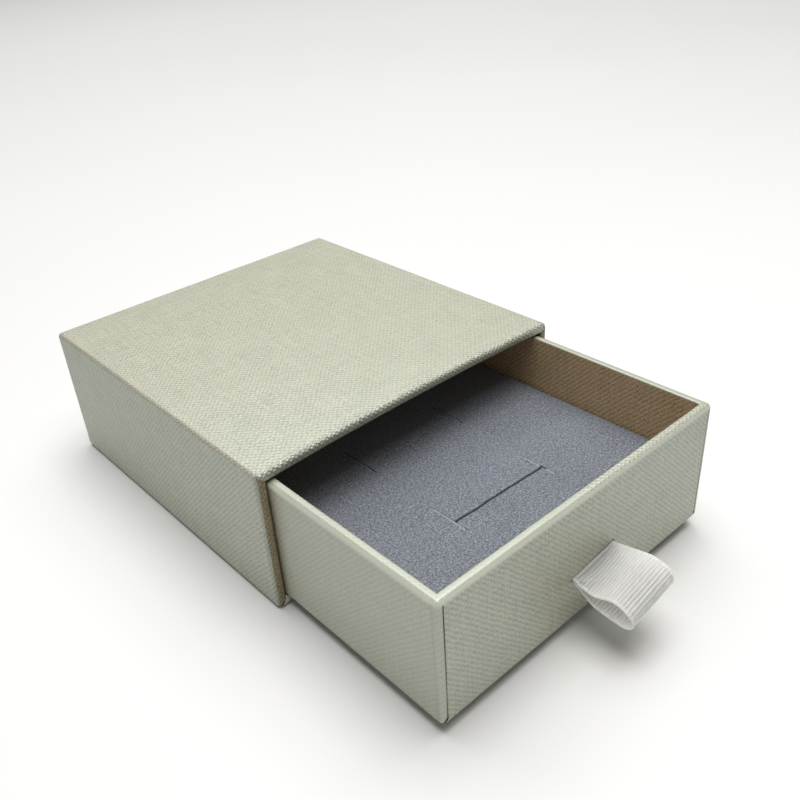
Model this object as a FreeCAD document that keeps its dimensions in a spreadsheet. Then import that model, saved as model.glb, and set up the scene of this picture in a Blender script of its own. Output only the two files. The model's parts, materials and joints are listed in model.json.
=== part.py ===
"""Sliding drawer gift box: a paper-wrapped greyboard sleeve, a tray drawer that slides out of its
mouth, a slit velvet insert and a ribbon pull.

Frame, in millimetres: the origin is the middle of the sleeve's underside, +Z is up, +X is to the
right as the mouth is looked into, and the drawer opens towards -Y.  The drawer is drawn partly open.
"""
import FreeCAD, Part
import os
import re
from math import acos, cos, pi, sin

import Sketcher
from FreeCAD import Vector

# --------------------------------------------------------------------------- driving dimensions
SIZES = {
    "sleeve_width": (85.0, "sleeve, outside, across the mouth"),
    "sleeve_depth": (90.0, "sleeve, outside, mouth to back"),
    "sleeve_height": (34.5, "sleeve, outside"),
    "sleeve_board": (1.6, "greyboard of the sleeve"),
    "sleeve_edge": (0.85, "rounding of the sleeve's outer board edges"),
    "mouth_crease": (0.25, "rounding of the board along the inside of the sleeve's mouth"),
    "cover_paper": (0.25, "embossed covering paper"),
    "lining_paper": (0.12, "plain lining paper"),
    "stay_paper": (0.12, "kraft stay tape, let into the boards"),
    "stay_leg": (10.0, "width of each leg of a stay"),
    "stay_end": (1.5, "bare board left past the end of a stay"),
    "mouth_turn_in": (15.0, "paper turned in at the sleeve's mouth"),
    "flap": (12.0, "paper turned under the sleeve and on to its back"),
    "sheet_inset": (1.0, "base and back sheets, set in from the sleeve's edges"),
    "drawer_board": (1.5, "greyboard of the drawer"),
    "drawer_edge": (0.85, "rounding of the drawer's outer board edges"),
    "rim_crease": (0.1, "rounding of the board along the inside of the drawer's rim"),
    "drawer_open": (46.0, "how far the drawer stands out as drawn"),
    "side_gap": (0.3, "drawer to the turned-in paper, each side"),
    "floor_gap": (0.1, "drawer to the turned-in paper below it"),
    "top_gap": (0.35, "drawer rim to the turned-in paper above it"),
    "back_gap": (0.4, "closed drawer to the sleeve's back lining"),
    "floor_turn_in": (8.0, "drawer paper turned in on its floor"),
    "seam_setback": (1.3, "wrap seam, in from the drawer's corner"),
    "seam_width": (0.12, "opening of a wrap seam"),
    "insert_drop": (13.3, "insert's top below the drawer's rim"),
    "insert_gap": (0.15, "insert to the drawer's walls"),
    "velvet": (0.8, "velvet with its pile"),
    "velvet_skirt": (2.4, "velvet down the sides of the foam, its top included"),
    "velvet_edge": (0.6, "rounding of the velvet's top edges"),
    "slit_width": (0.4, "opening of a slit"),
    "slit_deep": (7.0, "slits, below the insert's top"),
    "slit_span": (26.0, "between the left and right cross slits"),
    "slit_cross": (9.5, "length of a cross slit"),
    "slit_from_wall": (21.3, "long slit, behind the drawer's front wall"),
    "slit_pitch": (30.0, "front cross slits to rear ones"),
    "slit_shift": (0.4, "slits, right of the middle"),
    "ribbon_width": (12.7, "half-inch grosgrain"),
    "ribbon_thick": (0.35, "one layer of ribbon"),
    "ribbon_reach": (13.7, "loop's nose, out from the drawer's front"),
    "ribbon_nose": (2.35, "outer radius of the loop's nose"),
    "ribbon_droop": (1.0, "loop's nose, below the slot"),
    "ribbon_shift": (1.3, "ribbon, right of the middle"),
    "ribbon_under": (1.8, "ribbon's middle, below the velvet down the insert's side"),
    "ribbon_tilt": (8.0, "roll of the ribbon and its slot, in degrees, right side up"),
    "ribbon_bend": (0.3, "bend line of the ribbon, out from the front"),
    "tail_lift": (1.05, "foot of the glued tails, above the drawer's floor"),
    "slot_clear": (0.2, "slot round the two layers of ribbon, above and below"),
    "slot_side": (0.35, "slot past the ribbon's edges"),
    "patch_over": (2.0, "paper patch past the ribbon's tails"),
}

# Formulas in the names above and in each other.  Each is written out into the sheet's cells where
# it is used.  x is taken from the middle, y from the sleeve's middle, z from its underside.
FORMULAS = {
    # sleeve: core is the board box, bay the room inside it, mouth the way in past the turned-in paper
    "sleeve_half": "sleeve_width / 2",
    "mouth_y": "-sleeve_depth / 2",
    "rear_y": "sleeve_depth / 2",
    "core_half": "sleeve_half - cover_paper",
    "core_front": "mouth_y + cover_paper",
    "core_rear": "rear_y - 2 * cover_paper",
    "core_floor": "2 * cover_paper",
    "core_top": "sleeve_height - cover_paper",
    "bay_half": "core_half - sleeve_board",
    "bay_rear": "core_rear - sleeve_board",
    "bay_floor": "core_floor + sleeve_board",
    "bay_top": "core_top - sleeve_board",
    "mouth_half": "bay_half - cover_paper",
    "mouth_floor": "bay_floor + cover_paper",
    "mouth_top": "bay_top - cover_paper",
    "turn_in_y": "mouth_y + mouth_turn_in",
    "flap_x": "core_half - flap",
    "sheet_half": "sleeve_half - sheet_inset",
    # drawer: tray is its outside, shell the boards' outside, well the boards' inside, pan the room
    "tray_half": "mouth_half - side_gap",
    "tray_floor": "mouth_floor + floor_gap",
    "rim": "mouth_top - top_gap",
    "tray_front": "mouth_y - drawer_open",
    "tray_rear": "bay_rear - lining_paper - back_gap - drawer_open",
    "shell_half": "tray_half - cover_paper",
    "shell_front": "tray_front + cover_paper",
    "shell_rear": "tray_rear - cover_paper",
    "shell_floor": "tray_floor + cover_paper",
    "shell_top": "rim - cover_paper",
    "well_half": "shell_half - drawer_board",
    "well_front": "shell_front + drawer_board",
    "well_rear": "shell_rear - drawer_board",
    "well_floor": "shell_floor + drawer_board",
    "pan_half": "well_half - cover_paper",
    "pan_front": "well_front + cover_paper",
    "pan_rear": "well_rear - cover_paper",
    "pan_floor": "well_floor + cover_paper",
    # insert: pad is the velvet-covered outside, foam the block in it
    "pad_half": "pan_half - insert_gap",
    "pad_front": "pan_front + insert_gap",
    "pad_rear": "pan_rear - insert_gap",
    "pad_top": "rim - insert_drop",
    "foam_half": "pad_half - velvet",
    "foam_front": "pad_front + velvet",
    "foam_rear": "pad_rear - velvet",
    "foam_top": "pad_top - velvet",
    "slit_left": "slit_shift - slit_span / 2",
    "slit_right": "slit_shift + slit_span / 2",
    "slit_y": "pan_front + slit_from_wall",
    # ribbon
    "ribbon_z": "pad_top - velvet_skirt - ribbon_under - ribbon_thick",
    "tail_foot": "pan_floor + tail_lift",
    "slot_half": "ribbon_thick + slot_clear",
    "slot_reach": "ribbon_width / 2 + slot_side",
}

OVERSHOOT = 1.0  # how far a cutting tool runs past the face that it cuts
NEAR = 1e-4  # two coordinates closer than this are the same

doc = FreeCAD.newDocument("drawer_gift_box")
sheet = doc.addObject("Spreadsheet::Sheet", "sizes")
for row, (alias, (number, note)) in enumerate(SIZES.items(), start=1):
    sheet.set(f"A{row}", note)
    sheet.set(f"B{row}", str(number))
    sheet.setAlias(f"B{row}", alias)
doc.recompute()


def bound(text):
    """The formula in text as an expression on the sheet's cells alone."""

    def written_out(match):
        word = match.group()
        if word in FORMULAS:
            return "(" + bound(FORMULAS[word]) + ")"
        return "sizes." + word if word in SIZES else word

    return re.sub(r"\b[a-z_]+", written_out, text)


def value(text):
    """What the formula in text comes to, in millimetres."""
    return float(sheet.evalExpression(bound(text)))


# --------------------------------------------------------------------------- building operations
def block(name, low, high):
    """A box from its low corner to its high corner, each three formulas."""
    box = doc.addObject("Part::Box", name)
    for size, axis, start, end in zip(("Length", "Width", "Height"), "xyz", low, high):
        box.setExpression(size, bound(f"({end}) - ({start})"))
        box.setExpression(f"Placement.Base.{axis}", bound(start))
    return box


def fused(name, *shapes):
    joined = doc.addObject("Part::MultiFuse", name)
    joined.Shapes = list(shapes)
    return joined


def cut(name, base, *tools):
    """base with the tools taken away."""
    result = doc.addObject("Part::Cut", name)
    result.Base = base
    result.Tool = tools[0] if len(tools) == 1 else fused(name + "_tools", *tools)
    return result


def common(name, base, tool):
    result = doc.addObject("Part::Common", name)
    result.Base = base
    result.Tool = tool
    return result


def rounded(name, base, radius, wanted=lambda edge: True):
    """base with its wanted edges rounded."""
    doc.recompute()
    fillet = doc.addObject("Part::Fillet", name)
    fillet.Base = base
    size = value(radius)
    numbered = enumerate(base.Shape.Edges, start=1)
    fillet.Edges = [(number, size, size) for number, edge in numbered if wanted(edge)]
    return fillet


def lies_at(edge, axis, formula):
    """Whether the whole edge is at one coordinate of an axis."""
    place = value(formula)
    return all(abs(getattr(vertex.Point, axis) - place) < NEAR for vertex in edge.Vertexes)


def within(edge, half, low, high, axis):
    """Whether the edge is inside x = -half..half and low..high along another axis."""
    reach, start, end = value(half) + NEAR, value(low) - NEAR, value(high) + NEAR
    return all(
        abs(vertex.X) <= reach and start <= getattr(vertex.Point, axis) <= end
        for vertex in edge.Vertexes
    )


def origin_plane(body, role):
    return next(plane for plane in body.Origin.OriginFeatures if plane.Role == role)


def new_sketch(body, role):
    """An empty sketch on one of the body's own origin planes."""
    sketch = body.newObject("Sketcher::SketchObject", body.Name + "_sketch")
    sketch.AttachmentSupport = (origin_plane(body, role), [""])
    sketch.MapMode = "FlatFace"
    return sketch


def place_point(sketch, line, end, across, up):
    """Holds one end of a line or an arc's centre at two formulas from the sketch's origin."""
    for kind, formula in (("DistanceX", across), ("DistanceY", up)):
        rule = Sketcher.Constraint(kind, -1, 1, line, end, value(formula))
        index = sketch.addConstraint(rule)
        sketch.setExpression(f"Constraints[{index}]", bound(formula))


def closed_outline(sketch, points):
    """A closed run of lines through points, each point two formulas."""
    first = sketch.GeometryCount
    corners = [Vector(value(across), value(up), 0) for across, up in points]
    for start, end in zip(corners, corners[1:] + corners[:1]):
        sketch.addGeometry(Part.LineSegment(start, end))
    count = len(points)
    for number in range(count):
        following = first + (number + 1) % count
        rule = Sketcher.Constraint("Coincident", first + number, 2, following, 1)
        sketch.addConstraint(rule)
    for number, (across, up) in enumerate(points):
        place_point(sketch, first + number, 1, across, up)


def new_body(name, y="0", x="0", z="0"):
    """An empty body whose own origin is at the three formulas."""
    body = doc.addObject("PartDesign::Body", name)
    for axis, formula in (("x", x), ("y", y), ("z", z)):
        body.setExpression(f"Placement.Base.{axis}", bound(formula))
    return body


def new_ribbon_body(name, y="0"):
    """An empty body in the middle of the slot, rolled with the ribbon."""
    body = new_body(name, x="ribbon_shift", y=y, z="ribbon_z")
    body.Placement.Rotation = FreeCAD.Rotation(Vector(0, -1, 0), 1)
    body.setExpression("Placement.Rotation.Angle", bound("ribbon_tilt * 1deg"))
    return body


def padded(body, sketch, length, backwards=False, both_ways=False):
    pad = body.newObject("PartDesign::Pad", body.Name + "_pad")
    pad.Profile = sketch
    pad.setExpression("Length", bound(length))
    pad.Reversed = backwards
    pad.Midplane = both_ways
    return pad


def swept_outline(name, points, start, end):
    """A bar along Y between two formulas, with its section drawn as seen from the mouth."""
    body = new_body(name, y=start)
    sketch = new_sketch(body, "XZ_Plane")
    closed_outline(sketch, points)
    padded(body, sketch, f"({end}) - ({start})", backwards=True)
    return body


# --------------------------------------------------------------------------- sleeve
def sleeve_core():
    """The greyboard box with its mouth open, and its outside before the bay is cut."""
    outside = rounded(
        "sleeve_core_outside",
        block(
            "sleeve_core_block",
            ("-core_half", "core_front", "core_floor"),
            ("core_half", "core_rear", "core_top"),
        ),
        "sleeve_edge",
    )
    bay = block(
        "sleeve_bay",
        ("-bay_half", f"core_front - {OVERSHOOT}", "bay_floor"),
        ("bay_half", "bay_rear", "bay_top"),
    )
    core = rounded(
        "sleeve_core",
        cut("sleeve_core_open", outside, bay),
        "mouth_crease",
        lambda edge: lies_at(edge, "y", "core_front")
        and within(edge, "bay_half", "bay_floor", "bay_top", "z"),
    )
    return outside, core


def sleeve_stays(outside):
    """Kraft tape let in flush round the long edges, and round the back panel's edges."""
    inner = rounded(
        "sleeve_stay_inside",
        block(
            "sleeve_stay_block",
            ("-core_half + stay_paper", "core_front + stay_paper", "core_floor + stay_paper"),
            ("core_half - stay_paper", "core_rear - stay_paper", "core_top - stay_paper"),
        ),
        "sleeve_edge - stay_paper",
    )
    skin = cut("sleeve_stay_skin", outside, inner)
    across = {
        "left": ("-core_half", "-core_half + stay_leg"),
        "right": ("core_half - stay_leg", "core_half"),
    }
    upright = {
        "lower": ("core_floor", "core_floor + stay_leg"),
        "upper": ("core_top - stay_leg", "core_top"),
    }
    long_zones = []
    for side, (left, right) in across.items():
        for level, (low, high) in upright.items():
            start = "core_front + stay_end"
            end = "core_rear - stay_end"
            zone = block(f"edge_zone_{side}_{level}", (left, start, low), (right, end, high))
            long_zones.append(zone)
    back_zones = []
    clear_half = "(core_half - stay_leg - stay_end)"
    for level, (low, high) in upright.items():
        near = ("-" + clear_half, "core_rear - stay_leg", low)
        far = (clear_half, "core_rear", high)
        back_zones.append(block(f"back_zone_{level}", near, far))
    for side, (left, right) in across.items():
        near = (left, "core_rear - stay_leg", "core_floor + stay_leg + stay_end")
        far = (right, "core_rear", "core_top - stay_leg - stay_end")
        back_zones.append(block(f"back_zone_{side}", near, far))
    edge_stays = common("edge_stays", skin, fused("edge_zones", *long_zones))
    back_stays = common("back_stays", skin, fused("back_zones", *back_zones))
    return edge_stays, back_stays


def sleeve_boards(core, stays):
    """Five panels: top and bottom right across, the sides between them, the back inside all four."""
    carcass = cut("sleeve_carcass", core, *stays)
    front, rear = f"core_front - {OVERSHOOT}", f"core_rear + {OVERSHOOT}"
    left, right = f"-core_half - {OVERSHOOT}", f"core_half + {OVERSHOOT}"
    panels = {
        "top": ((left, front, "bay_top"), (right, rear, f"core_top + {OVERSHOOT}")),
        "bottom": ((left, front, f"core_floor - {OVERSHOOT}"), (right, rear, "bay_floor")),
        "left": ((left, front, "bay_floor"), ("-bay_half", rear, "bay_top")),
        "right": (("bay_half", front, "bay_floor"), (right, rear, "bay_top")),
        "back": (("-bay_half", "bay_rear", "bay_floor"), ("bay_half", rear, "bay_top")),
    }
    return {
        f"sleeve_{name}_board": common(
            f"{name}_board", carcass, block(f"{name}_slab", low, high)
        )
        for name, (low, high) in panels.items()
    }


def sleeve_lining():
    """The lining of the four walls, from the turned-in paper back, and of the back panel."""
    tube = new_body("wall_lining", y="turn_in_y")
    sketch = new_sketch(tube, "XZ_Plane")
    for inset in ("0", "lining_paper"):
        half, low, high = f"bay_half - {inset}", f"bay_floor + {inset}", f"bay_top - {inset}"
        closed_outline(
            sketch,
            [(f"-({half})", low), (half, low), (half, high), (f"-({half})", high)],
        )
    padded(tube, sketch, "bay_rear - turn_in_y", backwards=True)
    rear = block(
        "back_lining",
        ("-bay_half + lining_paper", "bay_rear - lining_paper", "bay_floor + lining_paper"),
        ("bay_half - lining_paper", "bay_rear", "bay_top - lining_paper"),
    )
    return tube, rear


def sill_outline():
    """The base sheet's front as seen from the mouth: mitred from the outer to the inner corner."""
    return [
        ("-sheet_half", "0"),
        ("sheet_half", "0"),
        ("sheet_half", "cover_paper"),
        ("mouth_half", "mouth_floor"),
        ("-mouth_half", "mouth_floor"),
        ("-sheet_half", "cover_paper"),
    ]


def sleeve_wrap(core, base_sheet):
    """One sheet over the top and sides, turned in at the mouth, under the base and on to the back."""
    outside = rounded(
        "wrap_outside",
        block(
            "wrap_block",
            ("-sleeve_half", "mouth_y", "cover_paper"),
            ("sleeve_half", "rear_y - cover_paper", "sleeve_height"),
        ),
        "sleeve_edge + cover_paper",
    )
    way_in = block(
        "wrap_way_in",
        ("-mouth_half", f"mouth_y - {OVERSHOOT}", "mouth_floor"),
        ("mouth_half", "turn_in_y", "mouth_top"),
    )
    blank = rounded(
        "wrap_blank",
        cut("wrap_open", outside, way_in),
        "mouth_crease + cover_paper",
        lambda edge: lies_at(edge, "y", "mouth_y")
        and within(edge, "mouth_half", "mouth_floor", "mouth_top", "z"),
    )
    bay = block(
        "wrap_bay",
        ("-bay_half", "turn_in_y", "bay_floor"),
        ("bay_half", "bay_rear", "bay_top"),
    )
    sill = swept_outline(
        "wrap_sill", sill_outline(), f"mouth_y - {OVERSHOOT}", "core_front + sleeve_edge"
    )
    sill_turn_in = block(
        "wrap_sill_turn_in",
        ("-mouth_half", "core_front", "bay_floor"),
        ("mouth_half", "turn_in_y", "mouth_floor"),
    )
    under = block(
        "wrap_under_window",
        ("-flap_x", "core_front", "0"),
        ("flap_x", f"rear_y + {OVERSHOOT}", "core_floor"),
    )
    behind = block(
        "wrap_back_window",
        ("-flap_x", "core_rear - sleeve_edge", "0"),
        ("flap_x", f"rear_y + {OVERSHOOT}", "core_top - flap"),
    )
    return cut("wrap", blank, core, bay, sill, sill_turn_in, base_sheet, under, behind)


def sleeve_back_sheet():
    """A panel over the back's flaps, with a tongue turned under between the base flaps."""
    radius = "sleeve_edge + cover_paper"
    folded = rounded(
        "back_fold_outside",
        block(
            "back_fold_block",
            ("-flap_x", "core_rear - flap", "cover_paper"),
            ("flap_x", "rear_y", "sleeve_height - sheet_inset"),
        ),
        radius,
        lambda edge: lies_at(edge, "y", "rear_y") and lies_at(edge, "z", "cover_paper"),
    )
    room = rounded(
        "back_fold_room",
        block(
            "back_fold_room_block",
            (f"-flap_x - {OVERSHOOT}", f"core_rear - flap - {OVERSHOOT}", "core_floor"),
            (
                f"flap_x + {OVERSHOOT}",
                "rear_y - cover_paper",
                f"sleeve_height + {OVERSHOOT}",
            ),
        ),
        "sleeve_edge",
        lambda edge: lies_at(edge, "y", "rear_y - cover_paper")
        and lies_at(edge, "z", "core_floor"),
    )
    fold = cut("back_fold", folded, room)
    panel = block(
        "back_panel",
        ("-sheet_half", "rear_y - cover_paper", "core_floor + sleeve_edge"),
        ("sheet_half", "rear_y", "sleeve_height - sheet_inset"),
    )
    return fused("back_sheet", fold, panel)


def sleeve_base_sheet():
    """The lowest sheet: flat under the base, folded up over the mouth's sill and turned in."""
    folded = block(
        "base_fold_block",
        ("-sheet_half", "mouth_y", "0"),
        ("sheet_half", "rear_y - sheet_inset", "mouth_floor"),
    )
    room = block(
        "base_fold_room_block",
        (f"-sheet_half - {OVERSHOOT}", "core_front", "cover_paper"),
        (f"sheet_half + {OVERSHOOT}", f"rear_y + {OVERSHOOT}", "bay_floor"),
    )
    for fold, rounding, low, high in (
        ("outer", "sleeve_edge", "0", "cover_paper"),
        ("inner", "mouth_crease", "mouth_floor", "bay_floor"),
    ):
        folded = rounded(
            f"base_{fold}_fold",
            folded,
            f"{rounding} + cover_paper",
            lambda edge: lies_at(edge, "y", "mouth_y") and lies_at(edge, "z", low),
        )
        room = rounded(
            f"base_{fold}_fold_room",
            room,
            rounding,
            lambda edge: lies_at(edge, "y", "core_front") and lies_at(edge, "z", high),
        )
    past_turn_in = block(
        "base_past_turn_in",
        (f"-sheet_half - {OVERSHOOT}", "turn_in_y", "cover_paper"),
        (f"sheet_half + {OVERSHOOT}", f"rear_y + {OVERSHOOT}", f"mouth_floor + {OVERSHOOT}"),
    )
    mitre = swept_outline("base_mitre", sill_outline(), "mouth_y", "rear_y")
    return common("base_sheet", cut("base_folded", folded, room, past_turn_in), mitre)


def sleeve_infills():
    """Paper that levels the base and the back between the turned-under flaps."""
    base = block(
        "base_infill",
        ("-flap_x", "core_front + sleeve_edge", "cover_paper"),
        ("flap_x", "core_rear - flap", "core_floor"),
    )
    back = block(
        "back_infill",
        ("-flap_x", "core_rear", "core_floor + sleeve_edge"),
        ("flap_x", "rear_y - cover_paper", "core_top - flap"),
    )
    return base, back


# --------------------------------------------------------------------------- drawer
def drawer_shell():
    """The greyboard tray with its rim rounded inside and out."""
    outside = rounded(
        "shell_outside",
        block(
            "shell_block",
            ("-shell_half", "shell_front", "shell_floor"),
            ("shell_half", "shell_rear", "shell_top"),
        ),
        "drawer_edge",
    )
    well = block(
        "shell_well",
        ("-well_half", "well_front", "well_floor"),
        ("well_half", "well_rear", f"shell_top + {OVERSHOOT}"),
    )
    return rounded(
        "shell",
        cut("shell_open", outside, well),
        "rim_crease",
        lambda edge: lies_at(edge, "z", "shell_top")
        and within(edge, "well_half", "well_front", "well_rear", "y"),
    )


def drawer_stays():
    """Kraft tape let in flush round the four upright corners."""
    rings = []
    for name, inset in (("stay_ring_outside", "0"), ("stay_ring_inside", "stay_paper")):
        upright = rounded(
            name,
            block(
                name + "_block",
                (f"-shell_half + {inset}", f"shell_front + {inset}", "well_floor"),
                (
                    f"shell_half - {inset}",
                    f"shell_rear - {inset}",
                    "shell_top - drawer_edge - stay_end",
                ),
            ),
            f"drawer_edge - {inset}",
            lambda edge: abs(edge.Vertexes[0].Z - edge.Vertexes[-1].Z) > NEAR,
        )
        rings.append(upright)
    ring = cut("stay_ring", *rings)
    corners = []
    for side, (left, right) in {
        "left": ("-shell_half", "-shell_half + stay_leg"),
        "right": ("shell_half - stay_leg", "shell_half"),
    }.items():
        for place, (start, end) in {
            "front": ("shell_front", "shell_front + stay_leg"),
            "rear": ("shell_rear - stay_leg", "shell_rear"),
        }.items():
            low, high = (left, start, "shell_floor"), (right, end, "shell_top")
            corners.append(block(f"stay_corner_{side}_{place}", low, high))
    return common("corner_stays", ring, fused("stay_corners", *corners))


def ribbon_slot():
    """The slot for the ribbon, right through the front wall."""
    start = f"tray_front - {OVERSHOOT}"
    body = new_ribbon_body("ribbon_slot", y=start)
    sketch = new_sketch(body, "XZ_Plane")
    corners = [
        ("-slot_reach", "-slot_half"),
        ("slot_reach", "-slot_half"),
        ("slot_reach", "slot_half"),
        ("-slot_reach", "slot_half"),
    ]
    closed_outline(sketch, corners)
    padded(body, sketch, f"(pan_front + insert_gap) - ({start})", backwards=True)
    return body


def drawer_boards(shell, stays, slot):
    """The base right across, front and back on it, the sides between them."""
    carcass = cut("drawer_carcass", shell, stays, slot)
    top = f"shell_top + {OVERSHOOT}"
    left, right = f"-shell_half - {OVERSHOOT}", f"shell_half + {OVERSHOOT}"
    front, rear = f"shell_front - {OVERSHOOT}", f"shell_rear + {OVERSHOOT}"
    panels = {
        "base": ((left, front, f"shell_floor - {OVERSHOOT}"), (right, rear, "well_floor")),
        "front": ((left, front, "well_floor"), (right, "well_front", top)),
        "back": ((left, "well_rear", "well_floor"), (right, rear, top)),
        "left": ((left, "well_front", "well_floor"), ("-well_half", "well_rear", top)),
        "right": (("well_half", "well_front", "well_floor"), (right, "well_rear", top)),
    }
    return {
        f"drawer_{name}_board": common(
            f"tray_{name}_board", carcass, block(f"tray_{name}_slab", low, high)
        )
        for name, (low, high) in panels.items()
    }


def wrap_seams():
    """The cut edges of the end flaps: upright beside each corner, then mitred into its foot."""
    seams = []
    foot = "tray_floor + seam_setback"
    line = "(tray_half - seam_setback)"
    for place, start, end in (
        ("front", f"tray_front - {OVERSHOOT}", "shell_front"),
        ("rear", "shell_rear", f"tray_rear + {OVERSHOOT}"),
    ):
        for side, sign in (("left", "-"), ("right", "")):
            outline = [
                (f"{sign}({line} - seam_width)", f"rim - drawer_edge - cover_paper"),
                (f"{sign}({line})", f"rim - drawer_edge - cover_paper"),
                (f"{sign}({line})", foot),
                (f"{sign}(tray_half - drawer_edge)", "tray_floor + drawer_edge"),
                (f"{sign}(tray_half - drawer_edge - seam_width)", "tray_floor + drawer_edge"),
                (f"{sign}({line} - seam_width)", foot),
            ]
            seams.append(swept_outline(f"seam_{place}_{side}", outline, start, end))
    return fused("wrap_seams", *seams)


def drawer_wrap(shell, slot):
    """One sheet under the tray, up its walls, over the rim, down inside and on to the floor."""
    outside = rounded(
        "tray_outside",
        block(
            "tray_block",
            ("-tray_half", "tray_front", "tray_floor"),
            ("tray_half", "tray_rear", "rim"),
        ),
        "drawer_edge + cover_paper",
    )
    pan = block(
        "tray_pan",
        ("-pan_half", "pan_front", "pan_floor"),
        ("pan_half", "pan_rear", f"rim + {OVERSHOOT}"),
    )
    blank = rounded(
        "tray_blank",
        cut("tray_open", outside, pan),
        "rim_crease + cover_paper",
        lambda edge: lies_at(edge, "z", "rim")
        and within(edge, "pan_half", "pan_front", "pan_rear", "y"),
    )
    floor_window = block(
        "tray_floor_window",
        (
            "-pan_half + floor_turn_in",
            "pan_front + floor_turn_in",
            "well_floor",
        ),
        ("pan_half - floor_turn_in", "pan_rear - floor_turn_in", f"pan_floor + {OVERSHOOT}"),
    )
    return cut("tray_wrap", blank, shell, floor_window, slot, wrap_seams())


def floor_lining():
    """Plain paper on the drawer's floor, between the turned-in edges of the wrap."""
    return block(
        "tray_floor_lining",
        ("-pan_half + floor_turn_in", "pan_front + floor_turn_in", "well_floor"),
        (
            "pan_half - floor_turn_in",
            "pan_rear - floor_turn_in",
            "well_floor + lining_paper",
        ),
    )


# --------------------------------------------------------------------------- insert
def insert_slits():
    """An H of three slits in front and two short slits behind it."""
    low, high = "pad_top - slit_deep", f"pad_top + {OVERSHOOT}"
    half_open = "slit_width / 2"
    slits = [
        block(
            "slit_long",
            ("slit_left", f"slit_y - {half_open}", low),
            ("slit_right", f"slit_y + {half_open}", high),
        )
    ]
    for row_name, row_y in (("front", "slit_y"), ("rear", "slit_y + slit_pitch")):
        for side in ("left", "right"):
            slits.append(
                block(
                    f"slit_{row_name}_{side}",
                    (f"slit_{side} - {half_open}", f"{row_y} - slit_cross / 2", low),
                    (f"slit_{side} + {half_open}", f"{row_y} + slit_cross / 2", high),
                )
            )
    return fused("insert_slits", *slits)


def insert():
    """The foam block, and the velvet over its top and down its sides."""
    foam = block(
        "foam_block",
        ("-foam_half", "foam_front", "pan_floor"),
        ("foam_half", "foam_rear", "foam_top"),
    )
    slits = insert_slits()
    cover = rounded(
        "velvet_outside",
        block(
            "velvet_block",
            ("-pad_half", "pad_front", "pad_top - velvet_skirt"),
            ("pad_half", "pad_rear", "pad_top"),
        ),
        "velvet_edge",
        lambda edge: lies_at(edge, "z", "pad_top"),
    )
    return cut("foam", foam, slits), cut("velvet_cover", cover, foam, slits)


# --------------------------------------------------------------------------- ribbon
def tapered_slot(sketch, start, end):
    """Two arcs, each (across, up, radius) in formulas, and the two lines that touch both."""
    (ax, ay, ar), (bx, by, br) = ([value(part) for part in each] for each in (start, end))
    apart = Vector(bx - ax, by - ay, 0)
    heading = apart.getAngle(Vector(1, 0, 0)) * (1 if apart.y >= 0 else -1)
    lean = acos((ar - br) / apart.Length)
    first = sketch.GeometryCount

    def on_circle(x, y, radius, angle):
        return Vector(x + radius * cos(angle), y + radius * sin(angle), 0)

    upper, lower = heading + lean, heading - lean
    circle_a = Part.Circle(Vector(ax, ay, 0), Vector(0, 0, 1), ar)
    circle_b = Part.Circle(Vector(bx, by, 0), Vector(0, 0, 1), br)
    sketch.addGeometry(Part.ArcOfCircle(circle_a, upper, lower + 2 * pi))
    sketch.addGeometry(Part.ArcOfCircle(circle_b, lower, upper))
    lines = [
        Part.LineSegment(on_circle(ax, ay, ar, angle), on_circle(bx, by, br, angle))
        for angle in (upper, lower)
    ]
    for line in lines:
        sketch.addGeometry(line)
    arc_a, arc_b, line_up, line_down = range(first, first + 4)
    for arc, arc_end, line, line_end in (
        (arc_a, 1, line_up, 1),
        (arc_a, 2, line_down, 1),
        (arc_b, 2, line_up, 2),
        (arc_b, 1, line_down, 2),
    ):
        sketch.addConstraint(Sketcher.Constraint("Tangent", arc, arc_end, line, line_end))
    for arc, (across, up, radius) in ((arc_a, start), (arc_b, end)):
        index = sketch.addConstraint(Sketcher.Constraint("Radius", arc, value(radius)))
        sketch.setExpression(f"Constraints[{index}]", bound(radius))
        place_point(sketch, arc, 3, across, up)


def ribbon_loop():
    """The loop outside: two layers that part from the bend line and meet round the nose."""
    body = new_ribbon_body("pull_loop", y="tray_front - ribbon_bend")
    sketch = new_sketch(body, "YZ_Plane")
    nose_y = "-(ribbon_reach - ribbon_bend - ribbon_nose)"
    nose_z = "-ribbon_droop"
    parting = 0.12  # share of the way to the nose where the two layers have come apart
    inner = "(ribbon_nose - ribbon_thick)"
    tapered_slot(sketch, ("0", "0", "ribbon_thick"), (nose_y, nose_z, "ribbon_nose"))
    tapered_slot(
        sketch,
        (f"{parting} * {nose_y}", f"{parting} * ({nose_z})", f"{parting} * {inner}"),
        (nose_y, nose_z, inner),
    )
    padded(body, sketch, "ribbon_width", both_ways=True)
    return body


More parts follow.
